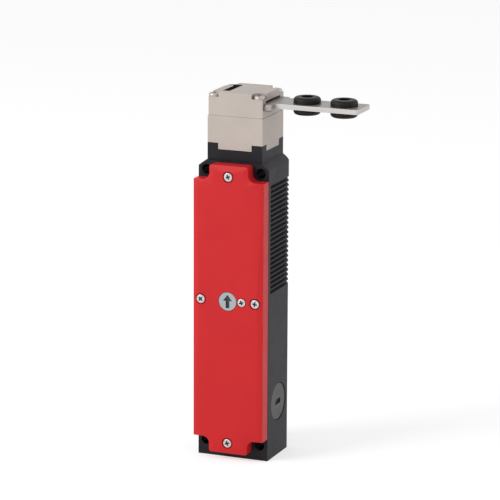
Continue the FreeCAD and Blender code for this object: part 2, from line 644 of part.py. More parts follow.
def block(x0, x1, deep0, deep1, z0, z1):
    solid = doc.addObject("Part::Box", "Block")
    bind(solid, "Length", as_size(x1) - x0)
    bind(solid, "Width", as_size(deep1) - deep0)
    bind(solid, "Height", as_size(z1) - z0)
    place(solid, x0, -as_size(deep1), z0)
    return solid


def rod(direction, low, high, radius, a, b):
    """A round bar. up: at X = a, depth = b. deep: at X = a, Z = b. right: depth a, Z b."""
    solid = doc.addObject("Part::Cylinder", "Rod")
    solid.Placement = Placement(Vector(), TURNS[direction])
    bind(solid, "Radius", radius)
    bind(solid, "Height", as_size(high) - low)
    if direction == "up":
        place(solid, a, -as_size(b), low)
    elif direction == "deep":
        place(solid, a, -as_size(low), b)
    else:
        place(solid, low, -as_size(a), b)
    return solid


def fuse(solids):
    if len(solids) == 1:
        return solids[0]
    joined = doc.addObject("Part::MultiFuse", "Fuse")
    joined.Shapes = solids
    return joined


def cut(base, tools):
    result = doc.addObject("Part::Cut", "Cut")
    result.Base = base
    result.Tool = fuse(tools)
    return result


def group(solids):
    gathered = doc.addObject("Part::Compound", "Group")
    gathered.Links = solids
    return gathered


def finish(name, solid):
    solid.Label = name
    nodes.append(solid)
    return solid


SPRING_SIDES = 12


def coil_spring(name, radius, wire, x, deep, low, high, turns):
    """A spring of square wire, on edge, that stands on low and reaches high."""
    span = as_size(high) - low - wire * 2
    steps = round(float(turns) * SPRING_SIDES)
    corners = []
    for step in range(steps + 1):
        turn = math.tau * step / SPRING_SIDES
        corners.append(Vector(float(radius) * math.cos(turn), float(radius) * math.sin(turn),
                              float(span) * step / steps))
    line = doc.addObject("Part::Polygon", "SpringLine")
    line.Nodes = corners
    section = doc.addObject("Part::RegularPolygon", "SpringWire")
    section.Polygon = 4
    bind(section, "Circumradius", wire)
    section.Placement = Placement(corners[0],
                                  Rotation(Vector(0, 0, 1), corners[1] - corners[0]))
    sweep = doc.addObject("Part::Sweep", "Spring")
    sweep.Sections = [section]
    sweep.Spine = (line, [f"Edge{step + 1}" for step in range(steps)])
    sweep.Solid = True
    sweep.Frenet = True
    sweep.Transition = "Right corner"
    place(sweep, x, -as_size(deep), as_size(low) + wire)
    return finish(name, sweep)


def corners_of(half_x, half_z):
    return [(side * half_x, end * half_z) for side in (-1, 1) for end in (-1, 1)]


# ---------------------------------------------------------------- shared sizes

half_width = D.housing_width / 2
cavity_half = half_width - D.wall
tongue_top = D.tongue_bottom + D.tongue_thick
tongue_mid = D.tongue_bottom + D.tongue_thick / 2
mid_y = -D.mid_depth
head_screw_x = D.head_half_width - D.head_screw_inset
head_screw_depths = (D.head_screw_back, D.head_depth - D.head_screw_inset)
head_screw_places = [(side * head_screw_x, deep) for side in (-1, 1) for deep in head_screw_depths]
mid_screw_places = [(-D.hole_half_x, D.mid_height), (D.hole_half_x, D.mid_height)]
tab_screw_places = [(0, -D.tab_screw_height), (0, D.tab_screw_height)]
cover_screw_places = tab_screw_places + mid_screw_places
screw_hole_radius = D.screw_shank_radius + D.screw_fit


# ---------------------------------------------------------------- housing

def make_housing():
    body = new_body("housing")
    outline = new_sketch(body, "front", 0)
    add_polygon(outline, [
        (-half_width, D.housing_bottom),
        (half_width, D.housing_bottom),
        (half_width, D.shoulder_low),
        (D.head_half_width, D.shoulder_high),
        (-D.head_half_width, D.shoulder_high),
        (-half_width, D.shoulder_low),
    ])
    pad(body, outline, D.housing_depth)
    long_edges = [(-half_width, 0), (half_width, 0)]
    round_edges(body, D.back_edge_radius, 2, long_edges)
    pad_block(body, "front", 0, D.head_depth, -D.head_half_width, D.head_half_width,
              D.shoulder_high, D.collar_top)
    posts = new_sketch(body, "top", D.collar_top)
    for side in (-1, 1):
        for edge, inward in ((0, -1), (-D.head_depth, 1)):
            outer = side * D.head_half_width
            inner = side * (D.head_half_width - D.post_size)
            add_rectangle(posts, inner, outer, edge, edge + inward * D.post_size)
    pad(body, posts, D.post_top - D.collar_top)
    cut_block(body, "front", D.back_wall, D.housing_depth, -cavity_half, cavity_half,
              -D.cavity_half_height, D.cavity_half_height)
    cut_block(body, "front", D.back_wall, D.chamber_depth, -D.chamber_half_width,
              D.chamber_half_width, D.cavity_half_height, D.chamber_top)
    pad_circles(body, "front", D.boss_back, D.housing_depth, D.boss_radius, mid_screw_places)
    entry = [(-D.entry_depth, D.side_entry_height)]
    boss_inner = cavity_half - D.entry_boss_reach
    pad_circles(body, "side", boss_inner, cavity_half, D.entry_boss_radius, entry)
    pad_circles(body, "side", -cavity_half, -boss_inner, D.entry_boss_radius, entry)
    cut_circles(body, "side", -half_width, half_width, D.entry_radius, entry)
    flank_floor = half_width - D.entry_recess
    cut_circles(body, "side", flank_floor, half_width, D.entry_recess_radius, entry)
    cut_circles(body, "side", -half_width, -flank_floor, D.entry_recess_radius, entry)
    cut_circles(body, "top", D.housing_bottom, -D.cavity_half_height, D.entry_radius,
                [(0, -D.entry_depth)])
    cut_circles(body, "front", 0, D.housing_depth, D.hole_radius,
                corners_of(D.hole_half_x, D.hole_half_z))
    cut_circles(body, "front", D.tab_screw_tip - D.part_gap, D.housing_depth, screw_hole_radius,
                tab_screw_places)
    cut_circles(body, "front", D.mid_screw_tip - D.part_gap, D.housing_depth, screw_hole_radius,
                mid_screw_places)
    plunger_place = [(D.wheel_x, mid_y)]
    cut_circles(body, "top", D.chamber_top, D.collar_top, D.plunger_radius + D.part_gap * 2,
                plunger_place)
    cut_circles(body, "top", D.collar_top - D.seal_high, D.collar_top, D.seal_radius,
                plunger_place)
    cut_circles(body, "top", D.head_screw_tip - D.part_gap, D.post_top,
                D.head_screw_shank + D.screw_fit,
                [(x, -deep) for x, deep in head_screw_places])
    groove = new_sketch(body, "front", D.housing_depth)
    inner_x = D.gasket_outer_x - D.gasket_width
    inner_z = D.gasket_outer_z - D.gasket_width
    add_rectangle(groove, -D.gasket_outer_x, D.gasket_outer_x, -D.gasket_outer_z, D.gasket_outer_z)
    add_rectangle(groove, -inner_x, inner_x, -inner_z, inner_z)
    pocket(body, groove, D.gasket_thick)
    rib = new_sketch(body, "front", D.groove_front)
    for side in (-1, 1):
        root_x = side * (half_width - D.groove_depth)
        flank_x = side * half_width
        add_polygon(rib, [
            (flank_x, D.rib_first + D.groove_mouth / 2),
            (root_x, D.rib_first + D.groove_root / 2),
            (root_x, D.rib_first - D.groove_root / 2),
            (flank_x, D.rib_first - D.groove_mouth / 2),
        ])
    first_groove = pocket(body, rib, D.groove_front)
    pattern = body.newObject("PartDesign::LinearPattern", "Ribs")
    pattern.Originals = [first_groove]
    pattern.Direction = (rib, ["V_Axis"])
    pattern.Reversed = True
    bind(pattern, "Length", D.rib_pitch * (D.rib_count - 1))
    bind(pattern, "Occurrences", D.rib_count)
    body.Tip = pattern
    doc.recompute()


# ---------------------------------------------------------------- cover

def cover_outline(sketch, inset):
    """The cover's outline: a rectangle with a tab at each end, drawn in by inset."""
    wide = D.cover_width / 2 - inset
    tab = D.tab_half_width - inset
    notch = D.cover_half_height - inset
    end = D.tab_end - inset
    add_polygon(sketch, [
        (-wide, -notch), (-tab, -notch), (-tab, -end), (tab, -end), (tab, -notch), (wide, -notch),
        (wide, notch), (tab, notch), (tab, end), (-tab, end), (-tab, notch), (-wide, notch),
    ])


def make_cover():
    body = new_body("cover")
    slab = new_sketch(body, "front", D.housing_depth)
    cover_outline(slab, as_size(0))
    pad(body, slab, D.cover_front - D.housing_depth)
    bevel = dress_edges(body, "Chamfer", "Size", D.cover_bevel_drop,
                        level_edges(body.Shape, 1, -D.cover_front))
    bevel.ChamferType = "Two distances"
    bind(bevel, "Size2", D.cover_bevel_reach)
    doc.recompute()
    inner_corners = [(side * D.tab_half_width, end * D.cover_half_height)
                     for side in (-1, 1) for end in (-1, 1)]
    round_edges(body, D.tab_fillet, 1, inner_corners)
    outer_corners = [(side * D.tab_half_width, end * D.tab_end)
                     for side in (-1, 1) for end in (-1, 1)]
    round_edges(body, D.tab_corner, 1, outer_corners)
    cut_block(body, "front", D.housing_depth, D.cover_front - D.cover_skin,
              -D.cover_cavity_half_width, D.cover_cavity_half_width,
              -D.cover_cavity_half_height, D.cover_cavity_half_height)
    pad_block(body, "front", D.housing_depth + D.part_gap, D.cover_front - D.cover_skin,
              -D.release_radius - D.part_gap, D.seal_screw_x + D.boss_radius,
              D.mid_height - D.release_radius, D.mid_height + D.release_radius)
    head_hole = D.screw_head_radius + D.head_gap
    cut_circles(body, "front", D.screw_seat, D.cover_front, head_hole, cover_screw_places)
    cut_circles(body, "front", D.housing_depth, D.screw_seat, screw_hole_radius,
                cover_screw_places)
    release = [(0, D.mid_height)]
    dial_floor = D.release_top - D.release_thick
    cut_circles(body, "front", dial_floor, D.cover_front, D.release_radius + D.running_gap,
                release)
    cut_circles(body, "front", D.housing_depth, dial_floor,
                D.release_shaft_radius + D.running_gap, release)
    cut_circles(body, "front", D.o_ring_depth - D.o_ring_radius, D.o_ring_depth + D.o_ring_radius,
                D.release_shaft_radius + D.o_ring_radius * 2, release)
    seal_screw = [(D.seal_screw_x, D.mid_height)]
    cut_circles(body, "front", D.screw_seat, D.cover_front,
                D.seal_screw_radius + D.running_gap, seal_screw)
    cut_circles(body, "front", D.housing_depth + D.cover_skin, D.screw_seat, screw_hole_radius,
                seal_screw)


def make_cover_gasket():
    body = new_body("cover_gasket")
    outer_x = D.gasket_outer_x - D.gasket_gap
    outer_z = D.gasket_outer_z - D.gasket_gap
    width = D.gasket_width - D.gasket_gap * 2
    ring = new_sketch(body, "front", D.housing_depth - D.gasket_thick)
    add_rectangle(ring, -outer_x, outer_x, -outer_z, outer_z)
    add_rectangle(ring, width - outer_x, outer_x - width, width - outer_z, outer_z - width)
    pad(body, ring, D.gasket_thick)


def cross_screw(x, z, seat, tip, head_radius):
    """A pan head screw that points back, with a cross recess."""
    top = seat + D.screw_head_height
    shank = rod("deep", tip, seat, D.screw_shank_radius, x, z)
    head = rod("deep", seat, top, head_radius, x, z)
    half_long = D.recess_length / 2
    half_wide = D.recess_width / 2
    floor = top - D.recess_deep
    x = as_size(x)
    across = block(x - half_long, x + half_long, floor, top, z - half_wide, z + half_wide)
    along = block(x - half_wide, x + half_wide, floor, top, z - half_long, z + half_long)
    return cut(fuse([shank, head]), [across, along])


def make_cover_screws():
    screws = []
    for x, z in tab_screw_places:
        screws.append(cross_screw(x, as_size(z), D.screw_seat, D.tab_screw_tip,
                                  D.screw_head_radius))
    for x, z in mid_screw_places:
        screws.append(cross_screw(x, as_size(z), D.screw_seat, D.mid_screw_tip,
                                  D.screw_head_radius))
    finish("cover_screws", group(screws))
    seal = cross_screw(D.seal_screw_x, D.mid_height, D.screw_seat,
                       D.housing_depth + D.cover_skin + D.part_gap, D.seal_screw_radius)
    finish("seal_screw", seal)


# ---------------------------------------------------------------- auxiliary release

def make_release():
    body = new_body("auxiliary_release")
    profile = new_sketch(body, "top", D.mid_height)
    dial_floor = D.release_top - D.release_thick
    web_front = D.release_web_back + D.release_web_thick
    add_polygon(profile, [
        (0, -D.release_top),
        (D.release_radius, -D.release_top),
        (D.release_radius, -dial_floor),
        (D.release_shaft_radius, -dial_floor),
        (D.release_shaft_radius, -web_front),
        (D.release_web_radius, -web_front),
        (D.release_web_radius, -D.release_web_back),
        (0, -D.release_web_back),
    ])
    revolve(body, profile)
    pin_z = D.mid_height - D.release_pin_offset
    pad_circles(body, "front", D.release_pin_back, D.release_web_back, D.release_pin_radius,
                [(0, pin_z)])
    arrow = new_sketch(body, "front", D.release_top)
    half_long = D.release_slot_length / 2
    half_wide = D.release_slot_width / 2
    barb = D.release_slot_width * 1.25
    neck = D.mid_height + half_long - barb * 1.3
    add_polygon(arrow, [
        (-half_wide, D.mid_height - half_long),
        (half_wide, D.mid_height - half_long),
        (half_wide, neck),
        (barb, neck),
        (0, D.mid_height + half_long),
        (-barb, neck),
        (-half_wide, neck),
    ])
    pocket(body, arrow, D.release_slot_deep)
    ring_low = D.o_ring_depth - D.o_ring_radius + D.running_gap
    ring_high = D.o_ring_depth + D.o_ring_radius - D.running_gap
    ring_radius = D.release_shaft_radius + D.o_ring_radius * 2 - D.running_gap
    rim = rod("deep", ring_low, ring_high, ring_radius, 0, D.mid_height)
    bore = rod("deep", ring_low, ring_high, D.release_shaft_radius + D.running_gap, 0,
               D.mid_height)
    ring = cut(rim, [bore])
    finish("release_seal", ring)


# ---------------------------------------------------------------- operating head

def make_head_base():
    body = new_body("head_base")
    pad_block(body, "top", D.collar_top, D.head_seam, -D.head_half_width, D.head_half_width,
              -D.head_depth, 0)
    corners = new_sketch(body, "top", D.post_top + D.screw_fit)
    room = D.post_size + D.screw_fit
    for side in (-1, 1):
        for edge, inward in ((0, -1), (-D.head_depth, 1)):
            outer = side * D.head_half_width
            inner = side * (D.head_half_width - room)
            add_rectangle(corners, inner, outer, edge, edge + inward * room)
    pocket(body, corners, D.post_top + D.screw_fit - D.collar_top)
    seam = new_sketch(body, "top", D.head_seam)
    outside = D.head_half_width + D.seam_line
    inside = D.head_half_width - D.seam_line
    add_rectangle(seam, -outside, outside, -D.head_depth - D.seam_line, D.seam_line)
    add_rectangle(seam, -inside, inside, D.seam_line - D.head_depth, -D.seam_line)
    pocket(body, seam, D.seam_line)
    cut_block(body, "top", D.head_floor, D.head_seam, -D.head_cavity_half_x,
              D.head_cavity_half_x, mid_y - D.head_cavity_half_y, mid_y + D.head_cavity_half_y)
    cut_circles(body, "top", D.collar_top, D.head_floor, D.plunger_radius + D.running_gap,
                [(D.wheel_x, mid_y)])
    cut_circles(body, "top", D.collar_top, D.head_seam, D.head_screw_shank + D.screw_fit,
                [(x, -deep) for x, deep in head_screw_places])
    cut_circles(body, "front", 0, D.axle_front + D.part_gap, D.axle_radius + D.running_gap / 4,
                [(D.wheel_x, D.wheel_z)])


def make_head_cap():
    body = new_body("head_cap")
    cap_left = D.cap_inset - D.head_half_width
    pad_block(body, "top", D.head_seam, D.head_top, cap_left, D.head_half_width,
              -D.head_depth, 0)
    cut_block(body, "top", D.head_seam, D.head_top - D.cap_skin, -D.head_cavity_half_x,
              D.head_cavity_half_x, mid_y - D.head_cavity_half_y, mid_y + D.head_cavity_half_y)
    cut_block(body, "side", D.head_cavity_half_x, D.head_half_width,
              mid_y - D.side_slot_half, mid_y + D.side_slot_half,
              D.side_slot_low, D.side_slot_low + D.slot_height)
    top_slot_right = D.top_slot_left + D.slot_height
    cut_block(body, "top", D.head_top - D.cap_skin, D.head_top, D.top_slot_left,
              top_slot_right, mid_y - D.top_slot_half, mid_y + D.top_slot_half)
    slot_corners = [(x, mid_y + end * D.top_slot_half)
                    for x in (D.top_slot_left, top_slot_right) for end in (-1, 1)]
    round_edges(body, D.top_slot_corner, 2, slot_corners)
    strip_top = D.head_top - D.cap_strip_drop
    cut_block(body, "top", strip_top, D.head_top, cap_left, D.top_slot_left, -D.head_depth, 0)
    cut_circles(body, "top", D.head_screw_seat, D.head_top, D.head_screw_bore,
                [(x, -deep) for x, deep in head_screw_places])
    outer_corners = new_sketch(body, "top", D.head_top)
    for side in (-1, 1):
        for edge, deep in ((0, head_screw_depths[0]), (-D.head_depth, head_screw_depths[1])):
            add_rectangle(outer_corners, side * head_screw_x, side * D.head_half_width,
                          edge, -deep)
    pocket(body, outer_corners, D.head_top - D.head_screw_seat)
    cut_circles(body, "top", D.head_seam, D.head_screw_seat, D.head_screw_shank + D.screw_fit,
                [(x, -deep) for x, deep in head_screw_places])


def make_head_screws():
    screws = []
    for x, deep in head_screw_places:
        seat = D.head_screw_seat
        top = seat + D.head_screw_height
        shank = rod("up", D.head_screw_tip, seat, D.head_screw_shank, x, deep)
        head = rod("up", seat, top, D.head_screw_radius, x, deep)
        half_long = D.recess_length / 2
        half_wide = D.recess_width / 2
        floor = top - D.recess_deep
        across = block(x - half_long, x + half_long, deep - half_wide, deep + half_wide,
                       floor, top)
        along = block(x - half_wide, x + half_wide, deep - half_long, deep + half_long,
                      floor, top)
        screws.append(cut(fuse([shank, head]), [across, along]))
    finish("head_screws", group(screws))


# ---------------------------------------------------------------- actuator

def make_tongue():
    body = new_body("actuator_tongue")
    outline = new_sketch(body, "top", D.tongue_bottom)
    upper = [
        (D.tongue_end, D.tongue_half),
        (D.shoulder_end, D.tongue_half),
        (D.shoulder_flat, D.shoulder_half),
        (D.shoulder_start, D.shoulder_half),
        (D.shoulder_start, D.tongue_half),
        (D.tongue_tip, D.tongue_half),
    ]
    above = [(x, mid_y + half) for x, half in upper]
    below = [(x, mid_y - half) for x, half in reversed(upper)]
    add_polygon(outline, above + below)
    pad(body, outline, D.tongue_thick)
    ear_low = D.tongue_bottom - D.ear_drop
    ear_edges = []
    for side in (-1, 1):
        outer = mid_y + side * D.shoulder_half
        inner = mid_y + side * (D.shoulder_half - D.ear_width)
        low, high = (outer, inner) if side < 0 else (inner, outer)
        pad_block(body, "top", ear_low, D.tongue_bottom, D.shoulder_start, D.shoulder_flat,
                  low, high)
        ear_edges += [(outer, ear_low), (outer, tongue_top)]
    round_edges(body, D.ear_radius, 0, ear_edges)
    window = new_sketch(body, "top", tongue_top)
    add_rectangle(window, D.window_left, D.window_right, mid_y - D.window_half,
                  mid_y + D.window_half)
    pocket(body, window, D.tongue_thick)
    bush_places = [(D.bush_first_x, mid_y), (D.bush_first_x + D.bush_pitch, mid_y)]
    cut_circles(body, "top", D.tongue_bottom, tongue_top, D.bush_hole_radius, bush_places)
    tip_corners = [(x, mid_y + side * D.tongue_half)
                   for x in (D.tongue_tip, D.tongue_end) for side in (-1, 1)]
    round_edges(body, D.top_slot_corner, 2, tip_corners)


def make_bush(x):
    """One rubber bush, turned round an upright axis at x."""
    body = doc.addObject("PartDesign::Body", "bush_body")
    profile = new_sketch(body, "front", D.mid_depth, (x, 0))
    low = tongue_mid - D.bush_height / 2
    high = tongue_mid + D.bush_height / 2
    lip_low = D.tongue_bottom - D.bush_flat_gap
    lip_high = tongue_top + D.bush_flat_gap
    edge = D.bush_edge
    outer = D.bush_radius
    add_polygon(profile, [
        (D.hole_radius + edge, low),
        (outer - edge, low),
        (outer, low + edge),
        (outer, lip_low),
        (D.bush_neck_radius, lip_low),
        (D.bush_neck_radius, lip_high),
        (outer, lip_high),
        (outer, high - edge),
        (outer - edge, high),
        (D.hole_radius + edge, high),
        (D.hole_radius, high - edge),
        (D.hole_radius, low + edge),
    ])
    revolve(body, profile)
    return body


def make_bushes():
    first = make_bush(D.bush_first_x)
    second = make_bush(D.bush_first_x + D.bush_pitch)
    finish("tongue_bushes", group([first, second]))


# ---------------------------------------------------------------- cam wheel

def wheel_tooth(direction_x, direction_z, low, high):
    """One tooth between two depths, pointing along X or Z."""
    body = doc.addObject("PartDesign::Body", "tooth_body")
    sketch = new_sketch(body, "front", low, (D.wheel_x, D.wheel_z))
    root = D.tooth_disc_radius - D.tooth_root_half
    points = [(root, -D.tooth_root_half), (D.tooth_reach, -D.tooth_tip_half),
              (D.tooth_reach, D.tooth_tip_half), (root, D.tooth_root_half)]
    if direction_z:
        turned = [(across, out * direction_z) for out, across in points]
    else:
        turned = [(out * direction_x, across) for out, across in points]
    add_polygon(sketch, turned)
    pad(body, sketch, high - low)
    return body


def make_cam_wheel():
    offset = D.cam_throw * math.sqrt(0.5)
    pieces = [
        rod("deep", D.mid_depth - D.cam_half, D.mid_depth + D.cam_half, D.cam_radius,
            D.wheel_x + offset, D.wheel_z + offset),
    ]
    for side in (-1, 1):
        near = D.mid_depth + side * D.cam_half
        inner = D.mid_depth + side * D.tooth_inner
        outer = D.mid_depth + side * D.tooth_outer
        end = D.mid_depth + side * D.wheel_half
        spans = [(near, end, D.hub_radius), (inner, outer, D.tooth_disc_radius)]
        for first, last, radius in spans:
            low, high = (first, last) if side > 0 else (last, first)
            pieces.append(rod("deep", low, high, radius, D.wheel_x, D.wheel_z))
        low, high = (inner, outer) if side > 0 else (outer, inner)
        for direction_x, direction_z in ((0, 1), (-1, 0), (0, -1)):
            pieces.append(wheel_tooth(direction_x, direction_z, low, high))
    bore = rod("deep", D.mid_depth - D.wheel_half, D.mid_depth + D.wheel_half,
               D.axle_radius + D.running_gap, D.wheel_x, D.wheel_z)
    finish("cam_wheel", cut(fuse(pieces), [bore]))
    axle = rod("deep", D.axle_back, D.axle_front, D.axle_radius, D.wheel_x, D.wheel_z)
    finish("cam_axle", axle)


# ---------------------------------------------------------------- plunger

def make_plunger():
    body = new_body("plunger")
    profile = new_sketch(body, "front", D.mid_depth, (D.wheel_x, 0))
    add_polygon(profile, [
        (0, D.plunger_head_low),
        (D.plunger_radius, D.plunger_head_low),
        (D.plunger_radius, D.plunger_flange_high),
        (D.plunger_flange_radius, D.plunger_flange_high),
        (D.plunger_flange_radius, D.plunger_flange_low),
        (D.plunger_radius, D.plunger_flange_low),
        (D.plunger_radius, D.plunger_shaft_low),
        (D.neck_radius, D.plunger_shaft_low),
        (D.neck_radius, D.collar_high),
        (D.collar_radius, D.collar_high),
        (D.collar_radius, D.collar_low),
        (D.neck_radius, D.collar_low),
        (D.neck_radius, D.link_high),
        (0, D.link_high),
    ])
    revolve(body, profile)
    pad_block(body, "top", D.plunger_head_low, D.plunger_top,
              D.wheel_x - D.plunger_head_half_x, D.wheel_x + D.plunger_head_half_x,
              mid_y - D.plunger_head_half_y, mid_y + D.plunger_head_half_y)


def make_plunger_link():
    body = new_body("plunger_link")
    side_view = new_sketch(body, "front", D.mid_depth - D.link_half)
    add_polygon(side_view, [
        (D.wheel_x - D.neck_radius, D.link_high),
        (D.wheel_x - D.neck_radius, D.link_low),
        (D.link_x, D.link_low),
        (D.link_x, D.link_end),
        (D.link_x + D.link_thick, D.link_end),
        (D.link_x + D.link_thick, D.link_high),
    ])
    pad(body, side_view, D.link_half * 2)
    arm_right = D.link_x - D.link_thick
    for low, high in ((D.mid_depth - D.link_half, D.mid_depth - D.slider_half),
                      (D.mid_depth + D.slider_half, D.mid_depth + D.link_half)):
        cut_block(body, "front", low, high, D.wheel_x - D.neck_radius, arm_right,
                  D.link_low, D.link_high)


def make_plunger_seal():
    ring = cut(
        rod("up", D.collar_top - D.seal_high, D.collar_top, D.seal_radius - D.screw_fit,
            D.wheel_x, D.mid_depth),
        [rod("up", D.collar_top - D.seal_high, D.collar_top, D.plunger_radius + D.running_gap,
             D.wheel_x, D.mid_depth)])
    finish("plunger_seal", ring)


# ---------------------------------------------------------------- guard lock

def make_lock_carrier():
    pieces = [
        block(D.carrier_left, D.carrier_right, D.carrier_back, D.carrier_front,
              D.carrier_low, D.shelf_high),
        block(D.shelf_left, D.carrier_right, D.carrier_front, D.shelf_front,
              D.shelf_low, D.shelf_high),
    ]
    post_x = (D.carrier_left + D.carrier_post_radius, D.carrier_right - D.carrier_post_radius)
    post_z = (D.carrier_low + D.carrier_post_radius, D.shelf_low - D.carrier_post_radius)
    for x in post_x:
        for z in post_z:
            pieces.append(rod("deep", D.back_wall, D.carrier_back, D.carrier_post_radius, x, z))
    guide = rod("up", D.shelf_low, D.shelf_high, D.plunger_radius + D.running_gap,
                D.wheel_x, D.mid_depth)
    pins = [rod("deep", D.carrier_back, D.carrier_front, D.pin_radius + D.running_gap / 4,
                D.guide_x, z) for z in (D.guide_low_z, D.guide_high_z)]
    finish("lock_carrier", cut(fuse(pieces), [guide] + pins))


def make_guide_pins():
    slider_back = D.mid_depth - D.slider_half
    slider_front = D.mid_depth + D.slider_half
    pins = []
    for z in (D.guide_low_z, D.guide_high_z):
        front = slider_front + D.pin_gap
        shank = rod("deep", D.carrier_back, front + D.guide_head_thick, D.pin_radius,
                    D.guide_x, z)
        collar = rod("deep", D.carrier_front, slider_back - D.pin_gap, D.guide_head_radius,
                     D.guide_x, z)
        head = rod("deep", front, front + D.guide_head_thick, D.guide_head_radius,
                   D.guide_x, z)
        pins.append(fuse([shank, collar, head]))
    finish("slider_guide_pins", group(pins))


def stadium(x0, z0, x1, z1, radius):
    """A straight slot through the slider, as one solid tool."""
    low = D.mid_depth - D.slider_half
    high = D.mid_depth + D.slider_half
    run_x = as_size(x1) - x0
    run_z = as_size(z1) - z0
    length = math.hypot(run_x.value, run_z.value)
    middle = doc.addObject("Part::Box", "SlotMiddle")
    bind(middle, "Width", high - low)
    bind(middle, "Height", radius * 2)
    angle = -math.degrees(math.atan2(run_z.value, run_x.value))
    turn = Rotation(Vector(0, 1, 0), angle)
    side = turn.multVec(Vector(0, 0, 1))
    middle.Placement = Placement(Vector(), turn)
    bind(middle, "Length", run_x / (run_x.value / length))
    place(middle, as_size(x0) - radius * side.x, -high, as_size(z0) - radius * side.z)
    first = rod("deep", low, high, radius, x0, z0)
    last = rod("deep", low, high, radius, x1, z1)
    return fuse([middle, first, last])


def make_lock_slider():
    body = doc.addObject("PartDesign::Body", "slider_plate_body")
    outline = new_sketch(body, "front", D.mid_depth - D.slider_half)
    add_polygon(outline, [
        (D.slider_left, D.slider_foot_low),
        (D.slider_foot_right, D.slider_foot_low),
        (D.slider_foot_right, D.slider_foot_high),
        (D.slider_web_right, D.slider_foot_high),
        (D.slider_web_right, D.slider_tip_low),
        (D.slider_tip_x, D.slider_tip_low),
        (D.slider_tip_x, D.slider_tip_high),
        (D.slider_left, D.slider_tip_high),
    ])
    pad(body, outline, D.slider_half * 2)
    slot_radius = D.pin_radius + D.pin_gap
    slots = [stadium(0, D.pin_z, -D.lock_travel, D.pin_z + D.lock_travel, slot_radius)]
    for z in (D.guide_low_z, D.guide_high_z):
        slots.append(stadium(D.guide_x, z, D.guide_x - D.lock_travel, z, slot_radius))
    finish("lock_slider", cut(body, slots))


# ---------------------------------------------------------------- solenoid

def make_solenoid():
    frame = block(-D.yoke_half_x, D.yoke_half_x, D.mid_depth - D.yoke_half_y,
                  D.mid_depth + D.yoke_half_y, D.yoke_low, D.yoke_high)
    window = block(D.yoke_side - D.yoke_half_x, D.yoke_half_x - D.yoke_side,
                   D.mid_depth - D.yoke_half_y, D.mid_depth + D.yoke_half_y,
                   D.yoke_low + D.yoke_plate, D.yoke_high - D.yoke_plate)
    top_hole = rod("up", D.yoke_high - D.yoke_plate, D.yoke_high, D.bobbin_bore, 0, D.mid_depth)
    rivet_radius = D.armature_radius / 2
    rivet_hole = rod("up", D.yoke_low, D.yoke_low + D.yoke_plate, rivet_radius, 0, D.mid_depth)
    finish("solenoid_yoke", cut(frame, [window, top_hole, rivet_hole]))

    low = D.yoke_low + D.yoke_plate
    high = D.yoke_high - D.yoke_plate
    pole = rod("up", low, D.pole_top, D.armature_radius, 0, D.mid_depth)
    rivet = rod("up", D.yoke_low, low, rivet_radius - D.screw_fit, 0, D.mid_depth)
    finish("solenoid_pole", fuse([pole, rivet]))

    tube_radius = D.bobbin_bore + D.bobbin_wall
    tube = rod("up", low, high, tube_radius, 0, D.mid_depth)
    lower = rod("up", low, low + D.bobbin_flange, D.bobbin_flange_radius, 0, D.mid_depth)
    upper = rod("up", high - D.bobbin_flange, high, D.bobbin_flange_radius, 0, D.mid_depth)
    bore = rod("up", low, high, D.bobbin_bore, 0, D.mid_depth)
    finish("solenoid_bobbin", cut(fuse([tube, lower, upper]), [bore]))

    wound_low = low + D.bobbin_flange
    wound_high = high - D.bobbin_flange
    winding = rod("up", wound_low, wound_high, D.coil_radius, 0, D.mid_depth)
    inside = rod("up", wound_low, wound_high, tube_radius + D.running_gap / 4, 0, D.mid_depth)
    finish("solenoid_coil", cut(winding, [inside]))


def make_armature():
    core = rod("up", D.armature_bottom, D.armature_top, D.armature_radius, 0, D.mid_depth)
    pieces = [core]
    for side in (-1, 1):
        near = D.mid_depth + side * D.cheek_inner
        far = D.mid_depth + side * D.cheek_outer
        low, high = (near, far) if side > 0 else (far, near)
        pieces.append(block(-D.cheek_half_x, D.cheek_half_x, low, high, D.armature_top,
                            D.cheek_top))
    bore = rod("up", D.armature_bottom, D.armature_bore_top, D.armature_bore_radius, 0,
               D.mid_depth)
    pin_hole = rod("deep", D.mid_depth - D.cheek_outer, D.mid_depth + D.cheek_outer,
                   D.pin_radius + D.running_gap / 4, 0, D.pin_z)
    finish("armature", cut(fuse(pieces), [bore, pin_hole]))
    pin = rod("deep", D.mid_depth - D.cheek_outer, D.mid_depth + D.cheek_outer, D.pin_radius,
              0, D.pin_z)
    finish("armature_pin", pin)


def make_release_bar():
    bar_front = D.bar_back + D.bar_thick
    cheek_front = D.mid_depth + D.cheek_outer
    pieces = [
        block(D.bar_left, D.cheek_half_x, cheek_front, cheek_front + D.bar_thick,
              D.bar_arm_low - D.bar_thick, D.bar_arm_high - D.bar_thick),
        block(D.bar_left, D.bar_right, cheek_front, bar_front,
              D.bar_arm_low - D.bar_thick, D.bar_arm_high - D.bar_thick),
        block(D.bar_left, D.bar_right, D.bar_back, bar_front, D.bar_end, D.bar_arm_low),
        block(D.bar_right - D.bar_thick, D.dog_reach, D.bar_back, bar_front, D.dog_low,
              D.dog_low + D.dog_thick),
    ]
    finish("release_bar", fuse(pieces))


# ---------------------------------------------------------------- contacts and terminals

